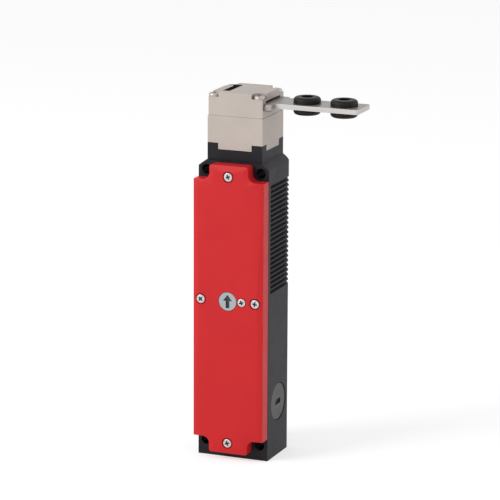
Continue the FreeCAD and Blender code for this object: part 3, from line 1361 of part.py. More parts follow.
def make_contacts():
    door_channel_x = D.link_x + D.link_thick / 2
    door_block = block(D.block_inner, D.block_outer, D.back_wall, D.door_block_front,
                       D.block_bottom, D.block_top)
    door_room = block(door_channel_x - D.door_channel_half_x, door_channel_x +
                      D.door_channel_half_x, D.mid_depth - D.door_channel_half_y,
                      D.mid_depth + D.door_channel_half_y, D.channel_bottom, D.block_top)
    finish("door_contact_block", cut(door_block, [door_room]))

    lock_channel_x = (D.bar_left + D.bar_right) / 2
    channel_back = D.bar_back - D.part_gap * 8
    lock_block = block(-D.block_outer, -D.block_inner, D.back_wall, D.lock_block_front,
                       D.block_bottom, D.block_top)
    lock_room = block(lock_channel_x - D.door_channel_half_x, lock_channel_x +
                      D.door_channel_half_x, channel_back, D.lock_block_front,
                      D.channel_bottom, D.block_top)
    finish("lock_contact_block", cut(lock_block, [lock_room]))

    gap = D.part_gap
    door_carrier = block(D.link_x - D.link_thick / 2, D.link_x + D.link_thick * 1.5,
                         D.mid_depth - D.door_channel_half_y + gap,
                         D.mid_depth + D.door_channel_half_y - gap,
                         D.bridge_low, D.bridge_high)
    bridge_top = D.bridge_z + D.bridge_plate
    door_slit = block(D.link_x - D.link_thick / 2, D.link_x + D.link_thick * 1.5,
                      D.mid_depth - D.link_half - gap, D.mid_depth + D.link_half + gap,
                      D.bridge_z, bridge_top)
    finish("door_bridge_carrier", cut(door_carrier, [door_slit]))
    door_bridge = block(door_channel_x - D.door_channel_half_x + gap,
                        door_channel_x + D.door_channel_half_x - gap,
                        D.mid_depth - D.link_half, D.mid_depth + D.link_half,
                        D.bridge_z, bridge_top)
    finish("door_contact_bridge", door_bridge)

    carrier_left = lock_channel_x - D.door_channel_half_x + gap
    carrier_right = lock_channel_x + D.door_channel_half_x - gap
    lock_carrier = block(carrier_left, carrier_right, channel_back + gap, D.bar_back,
                         D.bridge_low, D.bridge_high)
    lock_slit = block(carrier_left + D.bridge_plate, carrier_right - D.bridge_plate,
                      channel_back + gap, D.bar_back, D.bridge_z, bridge_top)
    finish("lock_bridge_carrier", cut(lock_carrier, [lock_slit]))
    lock_bridge = block(carrier_left + D.bridge_plate, carrier_right - D.bridge_plate,
                        channel_back + gap, D.bar_back, D.bridge_z, bridge_top)
    finish("lock_contact_bridge", lock_bridge)


def make_terminals():
    strip = block(-D.terminal_half, D.terminal_half, D.back_wall, D.terminal_front,
                  D.terminal_low, D.terminal_high)
    pockets = []
    clamps = []
    screws = []
    clamp_back = D.terminal_front - D.clamp_thick
    middle_z = (D.terminal_low + D.terminal_high) / 2
    count = int(D.terminal_count.value)
    for number in range(count):
        x = D.terminal_pitch * (number - (count - 1) / 2)
        room = D.clamp_half + D.screw_fit
        pockets.append(block(x - room, x + room, clamp_back, D.terminal_front,
                             middle_z - D.clamp_height / 2 - D.screw_fit,
                             middle_z + D.clamp_height / 2 + D.screw_fit))
        body = block(x - D.clamp_half, x + D.clamp_half, clamp_back,
                     D.terminal_front - D.part_gap * 2,
                     middle_z - D.clamp_height / 2, middle_z + D.clamp_height / 2)
        hole = rod("deep", clamp_back, D.terminal_front - D.part_gap * 2,
                   D.terminal_screw_radius / 2 + D.screw_fit, x, middle_z)
        clamps.append(cut(body, [hole]))
        shank = rod("deep", clamp_back + D.part_gap, D.terminal_front - D.part_gap * 2,
                    D.terminal_screw_radius / 2, x, middle_z)
        head = rod("deep", D.terminal_front - D.part_gap * 2,
                   D.terminal_front + D.part_gap * 2, D.terminal_screw_radius, x, middle_z)
        screws.append(fuse([shank, head]))
    finish("terminal_strip", cut(strip, pockets))
    finish("terminal_clamps", group(clamps))
    finish("terminal_screws", group(screws))


def make_entry_plugs():
    """Blanking plugs of the two side entries, each with a coin slot."""
    plugs = []
    boss_inner = cavity_half - D.entry_boss_reach
    flange_low = half_width - D.entry_recess
    flange_high = half_width - D.part_gap
    for side in (-1, 1):
        def span(near, far):
            return (near, far) if side > 0 else (-far, -near)
        low, high = span(boss_inner, flange_high)
        barrel = rod("right", low, high, D.entry_radius - D.screw_fit,
                     D.entry_depth, D.side_entry_height)
        low, high = span(flange_low, flange_high)
        flange = rod("right", low, high, D.entry_recess_radius - D.part_gap,
                     D.entry_depth, D.side_entry_height)
        hollow_low, hollow_high = span(boss_inner, flange_low - D.wall / 2)
        hollow = rod("right", hollow_low, hollow_high, D.entry_radius - D.wall / 2,
                     D.entry_depth, D.side_entry_height)
        low, high = span(flange_high - D.cover_skin / 2, flange_high)
        slot = block(low, high, D.entry_depth - D.boss_radius, D.entry_depth + D.boss_radius,
                     D.side_entry_height - D.recess_length / 2,
                     D.side_entry_height + D.recess_length / 2)
        plugs.append(cut(fuse([barrel, flange]), [hollow, slot]))
    finish("entry_plugs", group(plugs))


# ---------------------------------------------------------------- build

def make_springs():
    gap = D.running_gap
    coil_spring("plunger_spring", D.plunger_spring_radius, D.plunger_spring_wire, D.wheel_x,
                D.mid_depth, D.shelf_high + gap, D.plunger_flange_low - gap,
                D.plunger_spring_turns)
    coil_spring("armature_spring", D.armature_spring_radius, D.armature_spring_wire,
                as_size(0), D.mid_depth, D.pole_top + gap, D.armature_bore_top - gap,
                D.armature_spring_turns)
    coil_spring("door_contact_spring", D.contact_spring_radius, D.contact_spring_wire,
                D.link_x + D.link_thick / 2, D.mid_depth, D.channel_bottom + gap,
                D.bridge_low - gap, D.contact_spring_turns)


make_housing()
make_cover()
make_cover_gasket()
make_cover_screws()
make_release()
make_head_base()
make_head_cap()
make_head_screws()
make_tongue()
make_bushes()
make_cam_wheel()
make_plunger()
make_plunger_link()
make_plunger_seal()
make_lock_carrier()
make_guide_pins()
make_lock_slider()
make_solenoid()
make_armature()
make_release_bar()
make_contacts()
make_terminals()
make_entry_plugs()
make_springs()
doc.recompute()

for thing in doc.Objects:
    if "Invalid" in thing.State or "Error" in thing.State:
        raise RuntimeError(f"{thing.Name} of {[p.Label for p in thing.InList]} did not compute")

os.makedirs("parts", exist_ok=True)
for node in nodes:
    shape = node.Shape
    if shape.isNull() or not shape.isValid() or shape.Volume <= 0:
        raise RuntimeError(f"{node.Label} has no valid shape")
    shape.exportStep(f"parts/{node.Label}.step")
print(len(nodes), "parts written")
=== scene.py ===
import json
import math
from collections import namedtuple

import bmesh
import bpy
from mathutils import Matrix, Vector


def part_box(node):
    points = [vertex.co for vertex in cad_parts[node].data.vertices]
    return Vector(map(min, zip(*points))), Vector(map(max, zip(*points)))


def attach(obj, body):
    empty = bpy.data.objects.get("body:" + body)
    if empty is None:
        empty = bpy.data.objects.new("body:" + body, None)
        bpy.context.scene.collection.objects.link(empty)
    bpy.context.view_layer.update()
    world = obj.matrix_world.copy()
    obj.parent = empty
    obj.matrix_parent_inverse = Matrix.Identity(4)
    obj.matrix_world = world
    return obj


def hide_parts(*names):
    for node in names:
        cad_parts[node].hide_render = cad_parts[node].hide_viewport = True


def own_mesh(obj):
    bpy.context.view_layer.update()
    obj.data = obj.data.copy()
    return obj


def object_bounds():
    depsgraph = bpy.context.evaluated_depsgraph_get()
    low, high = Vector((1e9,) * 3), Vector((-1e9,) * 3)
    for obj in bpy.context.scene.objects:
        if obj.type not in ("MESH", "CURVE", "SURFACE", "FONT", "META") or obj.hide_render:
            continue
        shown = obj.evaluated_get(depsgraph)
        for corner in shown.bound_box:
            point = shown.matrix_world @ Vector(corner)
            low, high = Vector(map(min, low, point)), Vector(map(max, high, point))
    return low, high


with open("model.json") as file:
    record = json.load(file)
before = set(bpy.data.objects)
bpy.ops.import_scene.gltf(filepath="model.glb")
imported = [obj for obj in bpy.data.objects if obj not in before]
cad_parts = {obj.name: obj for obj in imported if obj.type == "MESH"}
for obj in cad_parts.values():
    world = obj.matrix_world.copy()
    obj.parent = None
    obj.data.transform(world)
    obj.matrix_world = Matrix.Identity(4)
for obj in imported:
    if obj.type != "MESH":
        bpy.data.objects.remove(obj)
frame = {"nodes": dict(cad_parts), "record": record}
cad_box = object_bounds()

MM = 0.001


# ---------------------------------------------------------------- node groups

# spans of a noise texture's value that are stretched to 0..1
NOISE_MIDDLE = (0.3, 0.7)
BROKEN_EDGE = (0.35, 0.65)
SMUDGED = (0.42, 0.72)
# how far a rounded normal leaves the true one, from a flat face to an edge lightened by
# handling and by a painted highlight
EDGE_TURN = (0.01, 0.14)
EDGE_SAMPLES = 4
# share of the fine grain in the height of a skin; the broad shift takes the rest
FINE_SHARE = 0.8


def new_group(name, inputs, outputs):
    """A shader node group with its input and output sockets."""
    group = bpy.data.node_groups.new(name, "ShaderNodeTree")
    for label, value in inputs:
        socket = group.interface.new_socket(name=label, in_out="INPUT",
                                            socket_type="NodeSocketFloat")
        socket.default_value = value
    for label in outputs:
        group.interface.new_socket(name=label, in_out="OUTPUT", socket_type="NodeSocketFloat")
    entry = group.nodes.new("NodeGroupInput")
    leave = group.nodes.new("NodeGroupOutput")
    return group, entry, leave


def math_node(tree, operation, first, second=None, clamp=False):
    """A Math node; each operand is a socket or a number."""
    node = tree.nodes.new("ShaderNodeMath")
    node.operation = operation
    node.use_clamp = clamp
    for index, operand in enumerate((first, second)):
        if operand is None:
            continue
        if hasattr(operand, "is_output"):
            tree.links.new(operand, node.inputs[index])
        else:
            node.inputs[index].default_value = operand
    return node.outputs[0]


def noise_node(tree, vector, scale, detail, rough=0.5):
    """A noise texture's value on the given vector socket."""
    node = tree.nodes.new("ShaderNodeTexNoise")
    node.inputs["Detail"].default_value = detail
    node.inputs["Roughness"].default_value = rough
    tree.links.new(vector, node.inputs["Vector"])
    if hasattr(scale, "is_output"):
        tree.links.new(scale, node.inputs["Scale"])
    else:
        node.inputs["Scale"].default_value = scale
    return node.outputs["Fac"]


def ramp_range(tree, value, span):
    """Stretches the part of value inside span to 0..1."""
    node = tree.nodes.new("ShaderNodeMapRange")
    node.inputs["From Min"].default_value = span[0]
    node.inputs["From Max"].default_value = span[1]
    tree.links.new(value, node.inputs["Value"])
    return node.outputs["Result"]


def make_surface_grain():
    """Fine grain, broad tone shift and the height of a moulded or cast skin."""
    group, entry, leave = new_group(
        "surface_grain", [("Fine Scale", 4000.0), ("Broad Scale", 60.0)],
        ["Fine", "Broad", "Height"])
    place = group.nodes.new("ShaderNodeTexCoord").outputs["Object"]
    fine = noise_node(group, place, entry.outputs["Fine Scale"], detail=3.0, rough=0.6)
    broad = noise_node(group, place, entry.outputs["Broad Scale"], detail=2.0)
    fine_out = ramp_range(group, fine, NOISE_MIDDLE)
    broad_out = ramp_range(group, broad, NOISE_MIDDLE)
    height = math_node(group, "ADD", math_node(group, "MULTIPLY", fine_out, FINE_SHARE),
                       math_node(group, "MULTIPLY", broad_out, 1 - FINE_SHARE))
    group.links.new(fine_out, leave.inputs["Fine"])
    group.links.new(broad_out, leave.inputs["Broad"])
    group.links.new(height, leave.inputs["Height"])
    return group


def make_edge_wear_and_highlight():
    """A broken mask along the outer edges, where handling rubs the skin and where a painted
    highlight lightens them.
    """
    group, entry, leave = new_group(
        "edge_wear_and_highlight", [("Radius", 0.4 * MM), ("Break Up", 900.0)], ["Wear"])
    bevel = group.nodes.new("ShaderNodeBevel")
    bevel.samples = EDGE_SAMPLES
    group.links.new(entry.outputs["Radius"], bevel.inputs["Radius"])
    shape = group.nodes.new("ShaderNodeNewGeometry")
    dot = group.nodes.new("ShaderNodeVectorMath")
    dot.operation = "DOT_PRODUCT"
    group.links.new(bevel.outputs["Normal"], dot.inputs[0])
    group.links.new(shape.outputs["Normal"], dot.inputs[1])
    place = group.nodes.new("ShaderNodeTexCoord").outputs["Object"]
    broken = noise_node(group, place, entry.outputs["Break Up"], detail=4.0, rough=0.65)
    turn = math_node(group, "SUBTRACT", 1.0, dot.outputs["Value"])
    wear_and_highlight = math_node(group, "MULTIPLY", ramp_range(group, turn, EDGE_TURN),
                     ramp_range(group, broken, BROKEN_EDGE), clamp=True)
    group.links.new(wear_and_highlight, leave.inputs["Wear"])
    return group


def make_tool_lines():
    """Parallel grinding or rolling lines that run along X, Y or Z."""
    group, entry, leave = new_group(
        "tool_lines", [("Along X", 40.0), ("Along Y", 2500.0), ("Along Z", 2500.0)],
        ["Lines", "Height"])
    place = group.nodes.new("ShaderNodeTexCoord").outputs["Object"]
    stretch = group.nodes.new("ShaderNodeCombineXYZ")
    for axis in "XYZ":
        group.links.new(entry.outputs["Along " + axis], stretch.inputs[axis])
    stretched = group.nodes.new("ShaderNodeVectorMath")
    stretched.operation = "MULTIPLY"
    group.links.new(place, stretched.inputs[0])
    group.links.new(stretch.outputs["Vector"], stretched.inputs[1])
    lines = noise_node(group, stretched.outputs["Vector"], scale=1.0, detail=5.0, rough=0.7)
    group.links.new(ramp_range(group, lines, NOISE_MIDDLE), leave.inputs["Lines"])
    group.links.new(lines, leave.inputs["Height"])
    return group


def make_handling_marks():
    """Soft smudges that change the gloss."""
    group, entry, leave = new_group("handling_marks", [("Size", 120.0)], ["Smudge"])
    place = group.nodes.new("ShaderNodeTexCoord").outputs["Object"]
    smudge = noise_node(group, place, entry.outputs["Size"], detail=5.0, rough=0.6)
    group.links.new(ramp_range(group, smudge, SMUDGED), leave.inputs["Smudge"])
    return group


SURFACE_GRAIN = make_surface_grain()
EDGE_WEAR_AND_HIGHLIGHT = make_edge_wear_and_highlight()
TOOL_LINES = make_tool_lines()
HANDLING_MARKS = make_handling_marks()


# ---------------------------------------------------------------- materials

# moulded and cast skins
BROAD_SCALE = 55.0
GRAIN_DARKENS = 0.25
GRAIN_ROUGH = (0.9, 1.1)
SMUDGE_DULLS = 0.05
SKIN_DEPTH = 0.03 * MM
# ground, turned and rolled metal
METAL_SMUDGES = 180.0
# width of the edges made lighter for handling and for a painted highlight
METAL_WEAR_AND_HIGHLIGHT = 0.15 * MM
METAL_DULLING = 0.35
# how much lighter those edges are painted
METAL_RUBBED_AND_LIT = 1.25
LINE_ROUGH = (1.25, 0.8)
LINE_DEPTH = 0.02 * MM
METAL_SPECULAR = 0.5


def place_group(tree, group, **values):
    """Puts a node group into a material with its own values."""
    node = tree.nodes.new("ShaderNodeGroup")
    node.node_tree = group
    for label, value in values.items():
        node.inputs[label.replace("_", " ")].default_value = value
    return node


def mix_colours(tree, factor, first, second):
    """A colour that moves from first to second with factor; each may be a socket."""
    node = tree.nodes.new("ShaderNodeMix")
    node.data_type = "RGBA"
    tree.links.new(factor, node.inputs["Factor"])
    for label, colour in (("A", first), ("B", second)):
        socket = [s for s in node.inputs if s.name == label and s.type == "RGBA"][0]
        if hasattr(colour, "is_output"):
            tree.links.new(colour, socket)
        else:
            socket.default_value = (*colour, 1.0)
    return [s for s in node.outputs if s.type == "RGBA"][0]


def between(tree, factor, low, high):
    """A number that moves from low to high with factor."""
    node = tree.nodes.new("ShaderNodeMapRange")
    node.inputs["To Min"].default_value = low
    node.inputs["To Max"].default_value = high
    tree.links.new(factor, node.inputs["Value"])
    return node.outputs["Result"]


def shade(colour, factor):
    """The same colour, lighter or darker."""
    return tuple(min(channel * factor, 1.0) for channel in colour)


def start_material(name, metallic, specular):
    """An empty material with its Principled shader."""
    material = bpy.data.materials.new(name)
    material.use_nodes = True
    tree = material.node_tree
    shader = tree.nodes["Principled BSDF"]
    shader.inputs["Metallic"].default_value = metallic
    shader.inputs["Specular IOR Level"].default_value = specular
    return material, tree, shader


def add_bump(tree, shader, height, strength, distance):
    """Bump from a height socket."""
    bump = tree.nodes.new("ShaderNodeBump")
    bump.inputs["Strength"].default_value = strength
    bump.inputs["Distance"].default_value = distance
    tree.links.new(height, bump.inputs["Height"])
    tree.links.new(bump.outputs["Normal"], shader.inputs["Normal"])


def moulded(name, colour, worn_and_lit, rough, grain=4000.0, bump=0.25, specular=0.5, metallic=0.0,
            wear_and_highlight_radius=0.3 * MM, spread=0.06):
    """A moulded or cast skin: grain, slow tone shift, edges lighter from handling and from a
    painted highlight, and soft smudges.
    """
    material, tree, shader = start_material(name, metallic, specular)
    skin = place_group(tree, SURFACE_GRAIN, Fine_Scale=grain, Broad_Scale=BROAD_SCALE)
    wear_and_highlight = place_group(tree, EDGE_WEAR_AND_HIGHLIGHT, Radius=wear_and_highlight_radius)
    marks = place_group(tree, HANDLING_MARKS)
    broad = mix_colours(tree, skin.outputs["Broad"], shade(colour, 1 - spread),
                        shade(colour, 1 + spread))
    darkened = between(tree, skin.outputs["Fine"], 0.0, GRAIN_DARKENS)
    speckled = mix_colours(tree, darkened, broad, shade(colour, 1 - spread * 2))
    # the edges take the lighter colour: handling marks and a painted highlight
    rubbed_and_lit = mix_colours(tree, wear_and_highlight.outputs["Wear"], speckled, worn_and_lit)
    tree.links.new(rubbed_and_lit, shader.inputs["Base Color"])
    low, high = GRAIN_ROUGH
    grained = between(tree, skin.outputs["Fine"], rough * low, rough * high)
    smudged = between(tree, marks.outputs["Smudge"], 0.0, SMUDGE_DULLS)
    gloss = math_node(tree, "ADD", grained, smudged, clamp=True)
    tree.links.new(gloss, shader.inputs["Roughness"])
    add_bump(tree, shader, skin.outputs["Height"], bump, SKIN_DEPTH)
    return material


def ground_metal(name, colour, dark, rough, along, metallic=1.0, bump=0.15):
    """Ground, turned or rolled metal with tool lines and a little dulling."""
    material, tree, shader = start_material(name, metallic, METAL_SPECULAR)
    lines = place_group(tree, TOOL_LINES, Along_X=along[0], Along_Y=along[1], Along_Z=along[2])
    marks = place_group(tree, HANDLING_MARKS, Size=METAL_SMUDGES)
    wear_and_highlight = place_group(tree, EDGE_WEAR_AND_HIGHLIGHT, Radius=METAL_WEAR_AND_HIGHLIGHT)
    lined = mix_colours(tree, lines.outputs["Lines"], dark, colour)
    dulling = between(tree, marks.outputs["Smudge"], 0.0, METAL_DULLING)
    dulled = mix_colours(tree, dulling, lined, dark)
    # the edges are painted lighter: handling marks and a painted highlight
    rubbed_and_lit = mix_colours(tree, wear_and_highlight.outputs["Wear"], dulled, shade(colour, METAL_RUBBED_AND_LIT))
    tree.links.new(rubbed_and_lit, shader.inputs["Base Color"])
    low, high = LINE_ROUGH
    tree.links.new(between(tree, lines.outputs["Lines"], rough * low, rough * high),
                   shader.inputs["Roughness"])
    add_bump(tree, shader, lines.outputs["Height"], bump, LINE_DEPTH)
    return material


# scales of the tool lines along X, Y and Z
FLAT_LINES = (60.0, 2600.0, 2600.0)
TURNED_LINES = (2200.0, 2200.0, 90.0)
SCREW_LINES = (1800.0, 1800.0, 1800.0)
SPRING_LINES = (1500.0, 1500.0, 1500.0)
IRON_LINES = (900.0, 900.0, 900.0)
WINDING_LINES = (300.0, 300.0, 9000.0)

# the second colour of each moulded finish below is the colour of its edges, lighter for
# handling and for a painted highlight
HOUSING_BLACK = moulded("housing_black", colour=(0.0074, 0.0064, 0.0104),
                        worn_and_lit=(0.026, 0.025, 0.030), rough=0.50, grain=3200.0, bump=0.35,
                        specular=0.24)
COVER_RED = moulded("cover_red", colour=(0.70, 0.018, 0.022), worn_and_lit=(0.73, 0.05, 0.05),
                    rough=0.42, grain=2600.0, bump=0.30, specular=0.28, spread=0.03)
HEAD_NICKEL = moulded("head_nickel", colour=(0.50, 0.438, 0.398), worn_and_lit=(0.61, 0.55, 0.51),
                      rough=0.46, grain=2400.0, bump=0.35, metallic=0.45, wear_and_highlight_radius=0.35 * MM)
# the tongue's steel in lit and shaded copies: the side faces and the ears are painted lighter
# than the faces that point up or down
TONGUE_STEEL = ground_metal("tongue_steel", colour=(0.36, 0.345, 0.335),
                            dark=(0.27, 0.26, 0.25), rough=0.40, along=FLAT_LINES, metallic=0.7)
TONGUE_EDGE_PAINTED_LIGHT = ground_metal("tongue_edge_painted_light", colour=(0.64, 0.62, 0.60), dark=(0.52, 0.50, 0.485),
                           rough=0.36, along=FLAT_LINES, metallic=0.6)
TONGUE_EAR_PAINTED_LIGHT = ground_metal("tongue_ear_painted_light", colour=(0.44, 0.40, 0.37), dark=(0.32, 0.29, 0.27),
                          rough=0.38, along=FLAT_LINES, metallic=0.6)
SCREW_ZINC = ground_metal("screw_zinc", colour=(0.66, 0.65, 0.65), dark=(0.46, 0.45, 0.46),
                          rough=0.26, along=SCREW_LINES)
RECESS_DARK = moulded("recess_dark", colour=(0.035, 0.036, 0.040), worn_and_lit=(0.08, 0.08, 0.09),
                      rough=0.5)
BUSH_RUBBER = moulded("bush_rubber", colour=(0.0085, 0.0068, 0.0062),
                      worn_and_lit=(0.020, 0.018, 0.017), rough=0.50, grain=2200.0, bump=0.2,
                      specular=0.22)
SCREW_NICKEL = moulded("screw_nickel", colour=(0.50, 0.445, 0.41), worn_and_lit=(0.62, 0.57, 0.53),
                       rough=0.34, grain=2600.0, bump=0.2, metallic=0.7)
# dark grey painted shade in the cross recess of the zinc and nickel screws
SCREW_RECESS_PAINTED_SHADE = moulded("screw_recess_painted_shade", colour=(0.17, 0.172, 0.185), worn_and_lit=(0.25, 0.25, 0.265),
                       rough=0.45, metallic=0.6)
# dark brown painted shade on the walls of the slot in the top of the head
SLOT_PAINTED_SHADE = moulded("slot_painted_shade", colour=(0.045, 0.034, 0.028), worn_and_lit=(0.07, 0.055, 0.045),
                     rough=0.6, specular=0.1)
# near-black painted shade inside the bores of the rubber bushes
BORE_PAINTED_SHADE = moulded("bore_painted_shade", colour=(0.004, 0.004, 0.004), worn_and_lit=(0.008, 0.008, 0.008),
                     rough=0.8, specular=0.05)
DIAL_GREY = moulded("dial_grey", colour=(0.40, 0.455, 0.485), worn_and_lit=(0.55, 0.60, 0.63),
                    rough=0.35, grain=3000.0, metallic=0.35, bump=0.2)
SEAL_RUBBER = moulded("seal_rubber", colour=(0.030, 0.030, 0.031), worn_and_lit=(0.05, 0.05, 0.05),
                      rough=0.6)
WHEEL_ACETAL = moulded("wheel_acetal", colour=(0.80, 0.79, 0.74), worn_and_lit=(0.86, 0.85, 0.82),
                       rough=0.40)
SHAFT_STEEL = ground_metal("shaft_steel", colour=(0.56, 0.55, 0.53), dark=(0.40, 0.39, 0.38),
                           rough=0.25, along=TURNED_LINES)
CARRIER_GREY = moulded("carrier_grey", colour=(0.10, 0.10, 0.11), worn_and_lit=(0.16, 0.16, 0.17),
                       rough=0.45)
MAGNET_IRON = ground_metal("magnet_iron", colour=(0.42, 0.42, 0.43), dark=(0.30, 0.30, 0.31),
                           rough=0.36, along=IRON_LINES)
WINDING_COPPER = ground_metal("winding_copper", colour=(0.62, 0.27, 0.12),
                              dark=(0.38, 0.14, 0.06), rough=0.30, along=WINDING_LINES)
BOBBIN_NATURAL = moulded("bobbin_natural", colour=(0.70, 0.68, 0.60), worn_and_lit=(0.78, 0.77, 0.71),
                         rough=0.45)
BLOCK_DARK = moulded("block_dark", colour=(0.12, 0.13, 0.16), worn_and_lit=(0.18, 0.19, 0.22),
                     rough=0.45)
CONTACT_BRASS = ground_metal("contact_brass", colour=(0.75, 0.60, 0.30),
                             dark=(0.55, 0.42, 0.20), rough=0.25, along=FLAT_LINES)
PLUG_BLACK = moulded("plug_black", colour=(0.034, 0.033, 0.035), worn_and_lit=(0.08, 0.08, 0.08),
                     rough=0.42, grain=3000.0, bump=0.3)
SPRING_WIRE = ground_metal("spring_wire", colour=(0.56, 0.56, 0.56), dark=(0.40, 0.40, 0.40),
                           rough=0.28, along=SPRING_LINES)

FINISHES = {
    "housing": HOUSING_BLACK, "cover": COVER_RED, "head": HEAD_NICKEL, "steel": TONGUE_STEEL,
    "zinc_screw": SCREW_ZINC, "rubber": SEAL_RUBBER, "dial": DIAL_GREY, "wheel": WHEEL_ACETAL,
    "plunger_metal": SHAFT_STEEL, "carrier": CARRIER_GREY, "iron": MAGNET_IRON,
    "copper": WINDING_COPPER, "bobbin": BOBBIN_NATURAL, "block": BLOCK_DARK,
    "contact": CONTACT_BRASS, "plug": PLUG_BLACK, "spring": SPRING_WIRE,
}

SLOT_OF = {part["node"]: part["material_slot"] for part in frame["record"]["subparts"]}
BODY_OF = {node: body for body, nodes in frame["record"]["behaviour"]["bodies"].items()
           for node in nodes}


def paint_node(node):
    """Gives a CAD node the finish of its slot."""
    slots = frame["nodes"][node].material_slots
    for index in range(len(slots)):
        slots[index].material = FINISHES[SLOT_OF[node]]


# ---------------------------------------------------------------- piece helpers

MERGE_GAP = 0.002 * MM
DEGENERATE = 0.001 * MM
POLE_GAP = 0.0005 * MM
FLAT_ANGLE = math.radians(0.8)
SHARP_ANGLE = math.radians(35.0)
CREASE_ANGLE = math.radians(40.0)
ROUND_SEGMENTS = 2
LARGE_FACE_WEIGHT = 100

# width of the rounding on the sharp edges of each dressed node
EDGE_ROUND = {
    "housing": 0.22 * MM, "cover": 0.25 * MM, "head_base": 0.3 * MM, "head_cap": 0.3 * MM,
    "actuator_tongue": 0.18 * MM, "entry_plugs": 0.2 * MM, "auxiliary_release": 0.12 * MM,
}


def make_piece(name, mesh, materials, node):
    """A finished piece that stands for a CAD node and rides on its body."""
    piece = bpy.data.objects.new(name, mesh)
    bpy.context.collection.objects.link(piece)
    for material in materials:
        mesh.materials.append(material)
    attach(piece, BODY_OF[node])
    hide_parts(node)
    return piece


def merged_copy(node):
    """A bmesh copy of a CAD node with its triangles joined and flat faces made whole."""
    shape = bmesh.new()
    shape.from_mesh(frame["nodes"][node].data)
    bmesh.ops.remove_doubles(shape, verts=shape.verts, dist=MERGE_GAP)
    bmesh.ops.dissolve_degenerate(shape, edges=shape.edges, dist=DEGENERATE)
    bmesh.ops.dissolve_limit(shape, angle_limit=FLAT_ANGLE, verts=shape.verts,
                             edges=shape.edges, use_dissolve_boundaries=False)
    return shape


def soften_edges(shape, width):
    """Rounds the sharp edges of a merged shape."""
    sharp = [edge for edge in shape.edges
             if edge.is_manifold and edge.calc_face_angle(0.0) > SHARP_ANGLE]
    bmesh.ops.bevel(shape, geom=sharp, offset=width, offset_type="OFFSET", affect="EDGES",
                    segments=ROUND_SEGMENTS, profile=0.5, clamp_overlap=True, material=-1,
                    loop_slide=True)


def finish_mesh(shape, name, crease=CREASE_ANGLE):
    """Makes the mesh, smooth but with its corners kept crisp."""
    mesh = bpy.data.meshes.new(name)
    shape.to_mesh(mesh)
    shape.free()
    for face in mesh.polygons:
        face.use_smooth = True
    mesh.set_sharp_from_angle(angle=crease)
    return mesh


def even_normals(piece):
    """Shading normals that favour the large faces."""
    modifier = piece.modifiers.new("even_normals", "WEIGHTED_NORMAL")
    modifier.keep_sharp = True
    modifier.weight = LARGE_FACE_WEIGHT


def dress_node(node, materials=None, mark=None, prepare=merged_copy):
    """A copy of a CAD node with rounded edges; mark gives each face its material's place."""
    shape = prepare(node)
    soften_edges(shape, EDGE_ROUND[node])
    if mark:
        for face in shape.faces:
            face.material_index = mark(face)
    mesh = finish_mesh(shape, node + "_skin")
    piece = make_piece(node + "_skin", mesh, materials or [FINISHES[SLOT_OF[node]]], node)
    even_normals(piece)


def turned(profile, steps, centre=(0.0, 0.0)):
    """A shape turned about Z through centre from (radius, height) points."""
    shape = bmesh.new()
    points = [shape.verts.new((centre[0] + radius, centre[1], height))
              for radius, height in profile]
    edges = [shape.edges.new(pair) for pair in zip(points, points[1:])]
    bmesh.ops.spin(shape, geom=points + edges, cent=(centre[0], centre[1], 0.0),
                   axis=(0.0, 0.0, 1.0), angle=math.tau, steps=steps, use_merge=True,
                   use_duplicate=False)
    bmesh.ops.remove_doubles(shape, verts=shape.verts, dist=POLE_GAP)
    bmesh.ops.recalc_face_normals(shape, faces=shape.faces)
    return shape


def join_shapes(target, source, matrix):
    """Moves source by matrix and adds it to target."""
    source.transform(matrix)
    mesh = bpy.data.meshes.new("joining")
    source.to_mesh(mesh)
    source.free()
    target.from_mesh(mesh)
    bpy.data.meshes.remove(mesh)


# ---------------------------------------------------------------- screws with a cross recess

ScrewForm = namedtuple("ScrewForm", "facing metal height rim flat deep shank spin")
COVER_SCREW = ScrewForm(facing=Matrix.Rotation(math.pi / 2, 4, "X"), metal=SCREW_ZINC,
                        height=1.9 * MM, rim=0.35 * MM, flat=0.86, deep=1.2 * MM,
                        shank=1.45 * MM, spin=0.3)
HEAD_SCREW = ScrewForm(facing=Matrix.Identity(4), metal=SCREW_NICKEL, height=1.6 * MM,
                       rim=1.0 * MM, flat=0.68, deep=1.2 * MM, shank=1.6 * MM, spin=0.6)
CROSS_REACH = {"cover_screws": 1.35 * MM, "seal_screw": 1.3 * MM, "head_screws": 1.75 * MM}
SEAT_GAP = 0.18 * MM
TURN_BETWEEN_SCREWS = 0.55

# the cross, in shares of its reach and depth
CROSS_WING = 0.24
CROSS_FLANK = 0.36
CROSS_TAPER = 0.62
CROSS_RIM = 1.06
CROSS_START = 0.1
CROSS_ARMS = 4

HEAD_SIDES = 48
RIM_STEPS = 5
SHANK_SIDES = 24
SHANK_POINT = 0.5


def items_of(geometry, kind):
    """The items of one kind in the result of an operator."""
    return [item for item in geometry if isinstance(item, kind)]


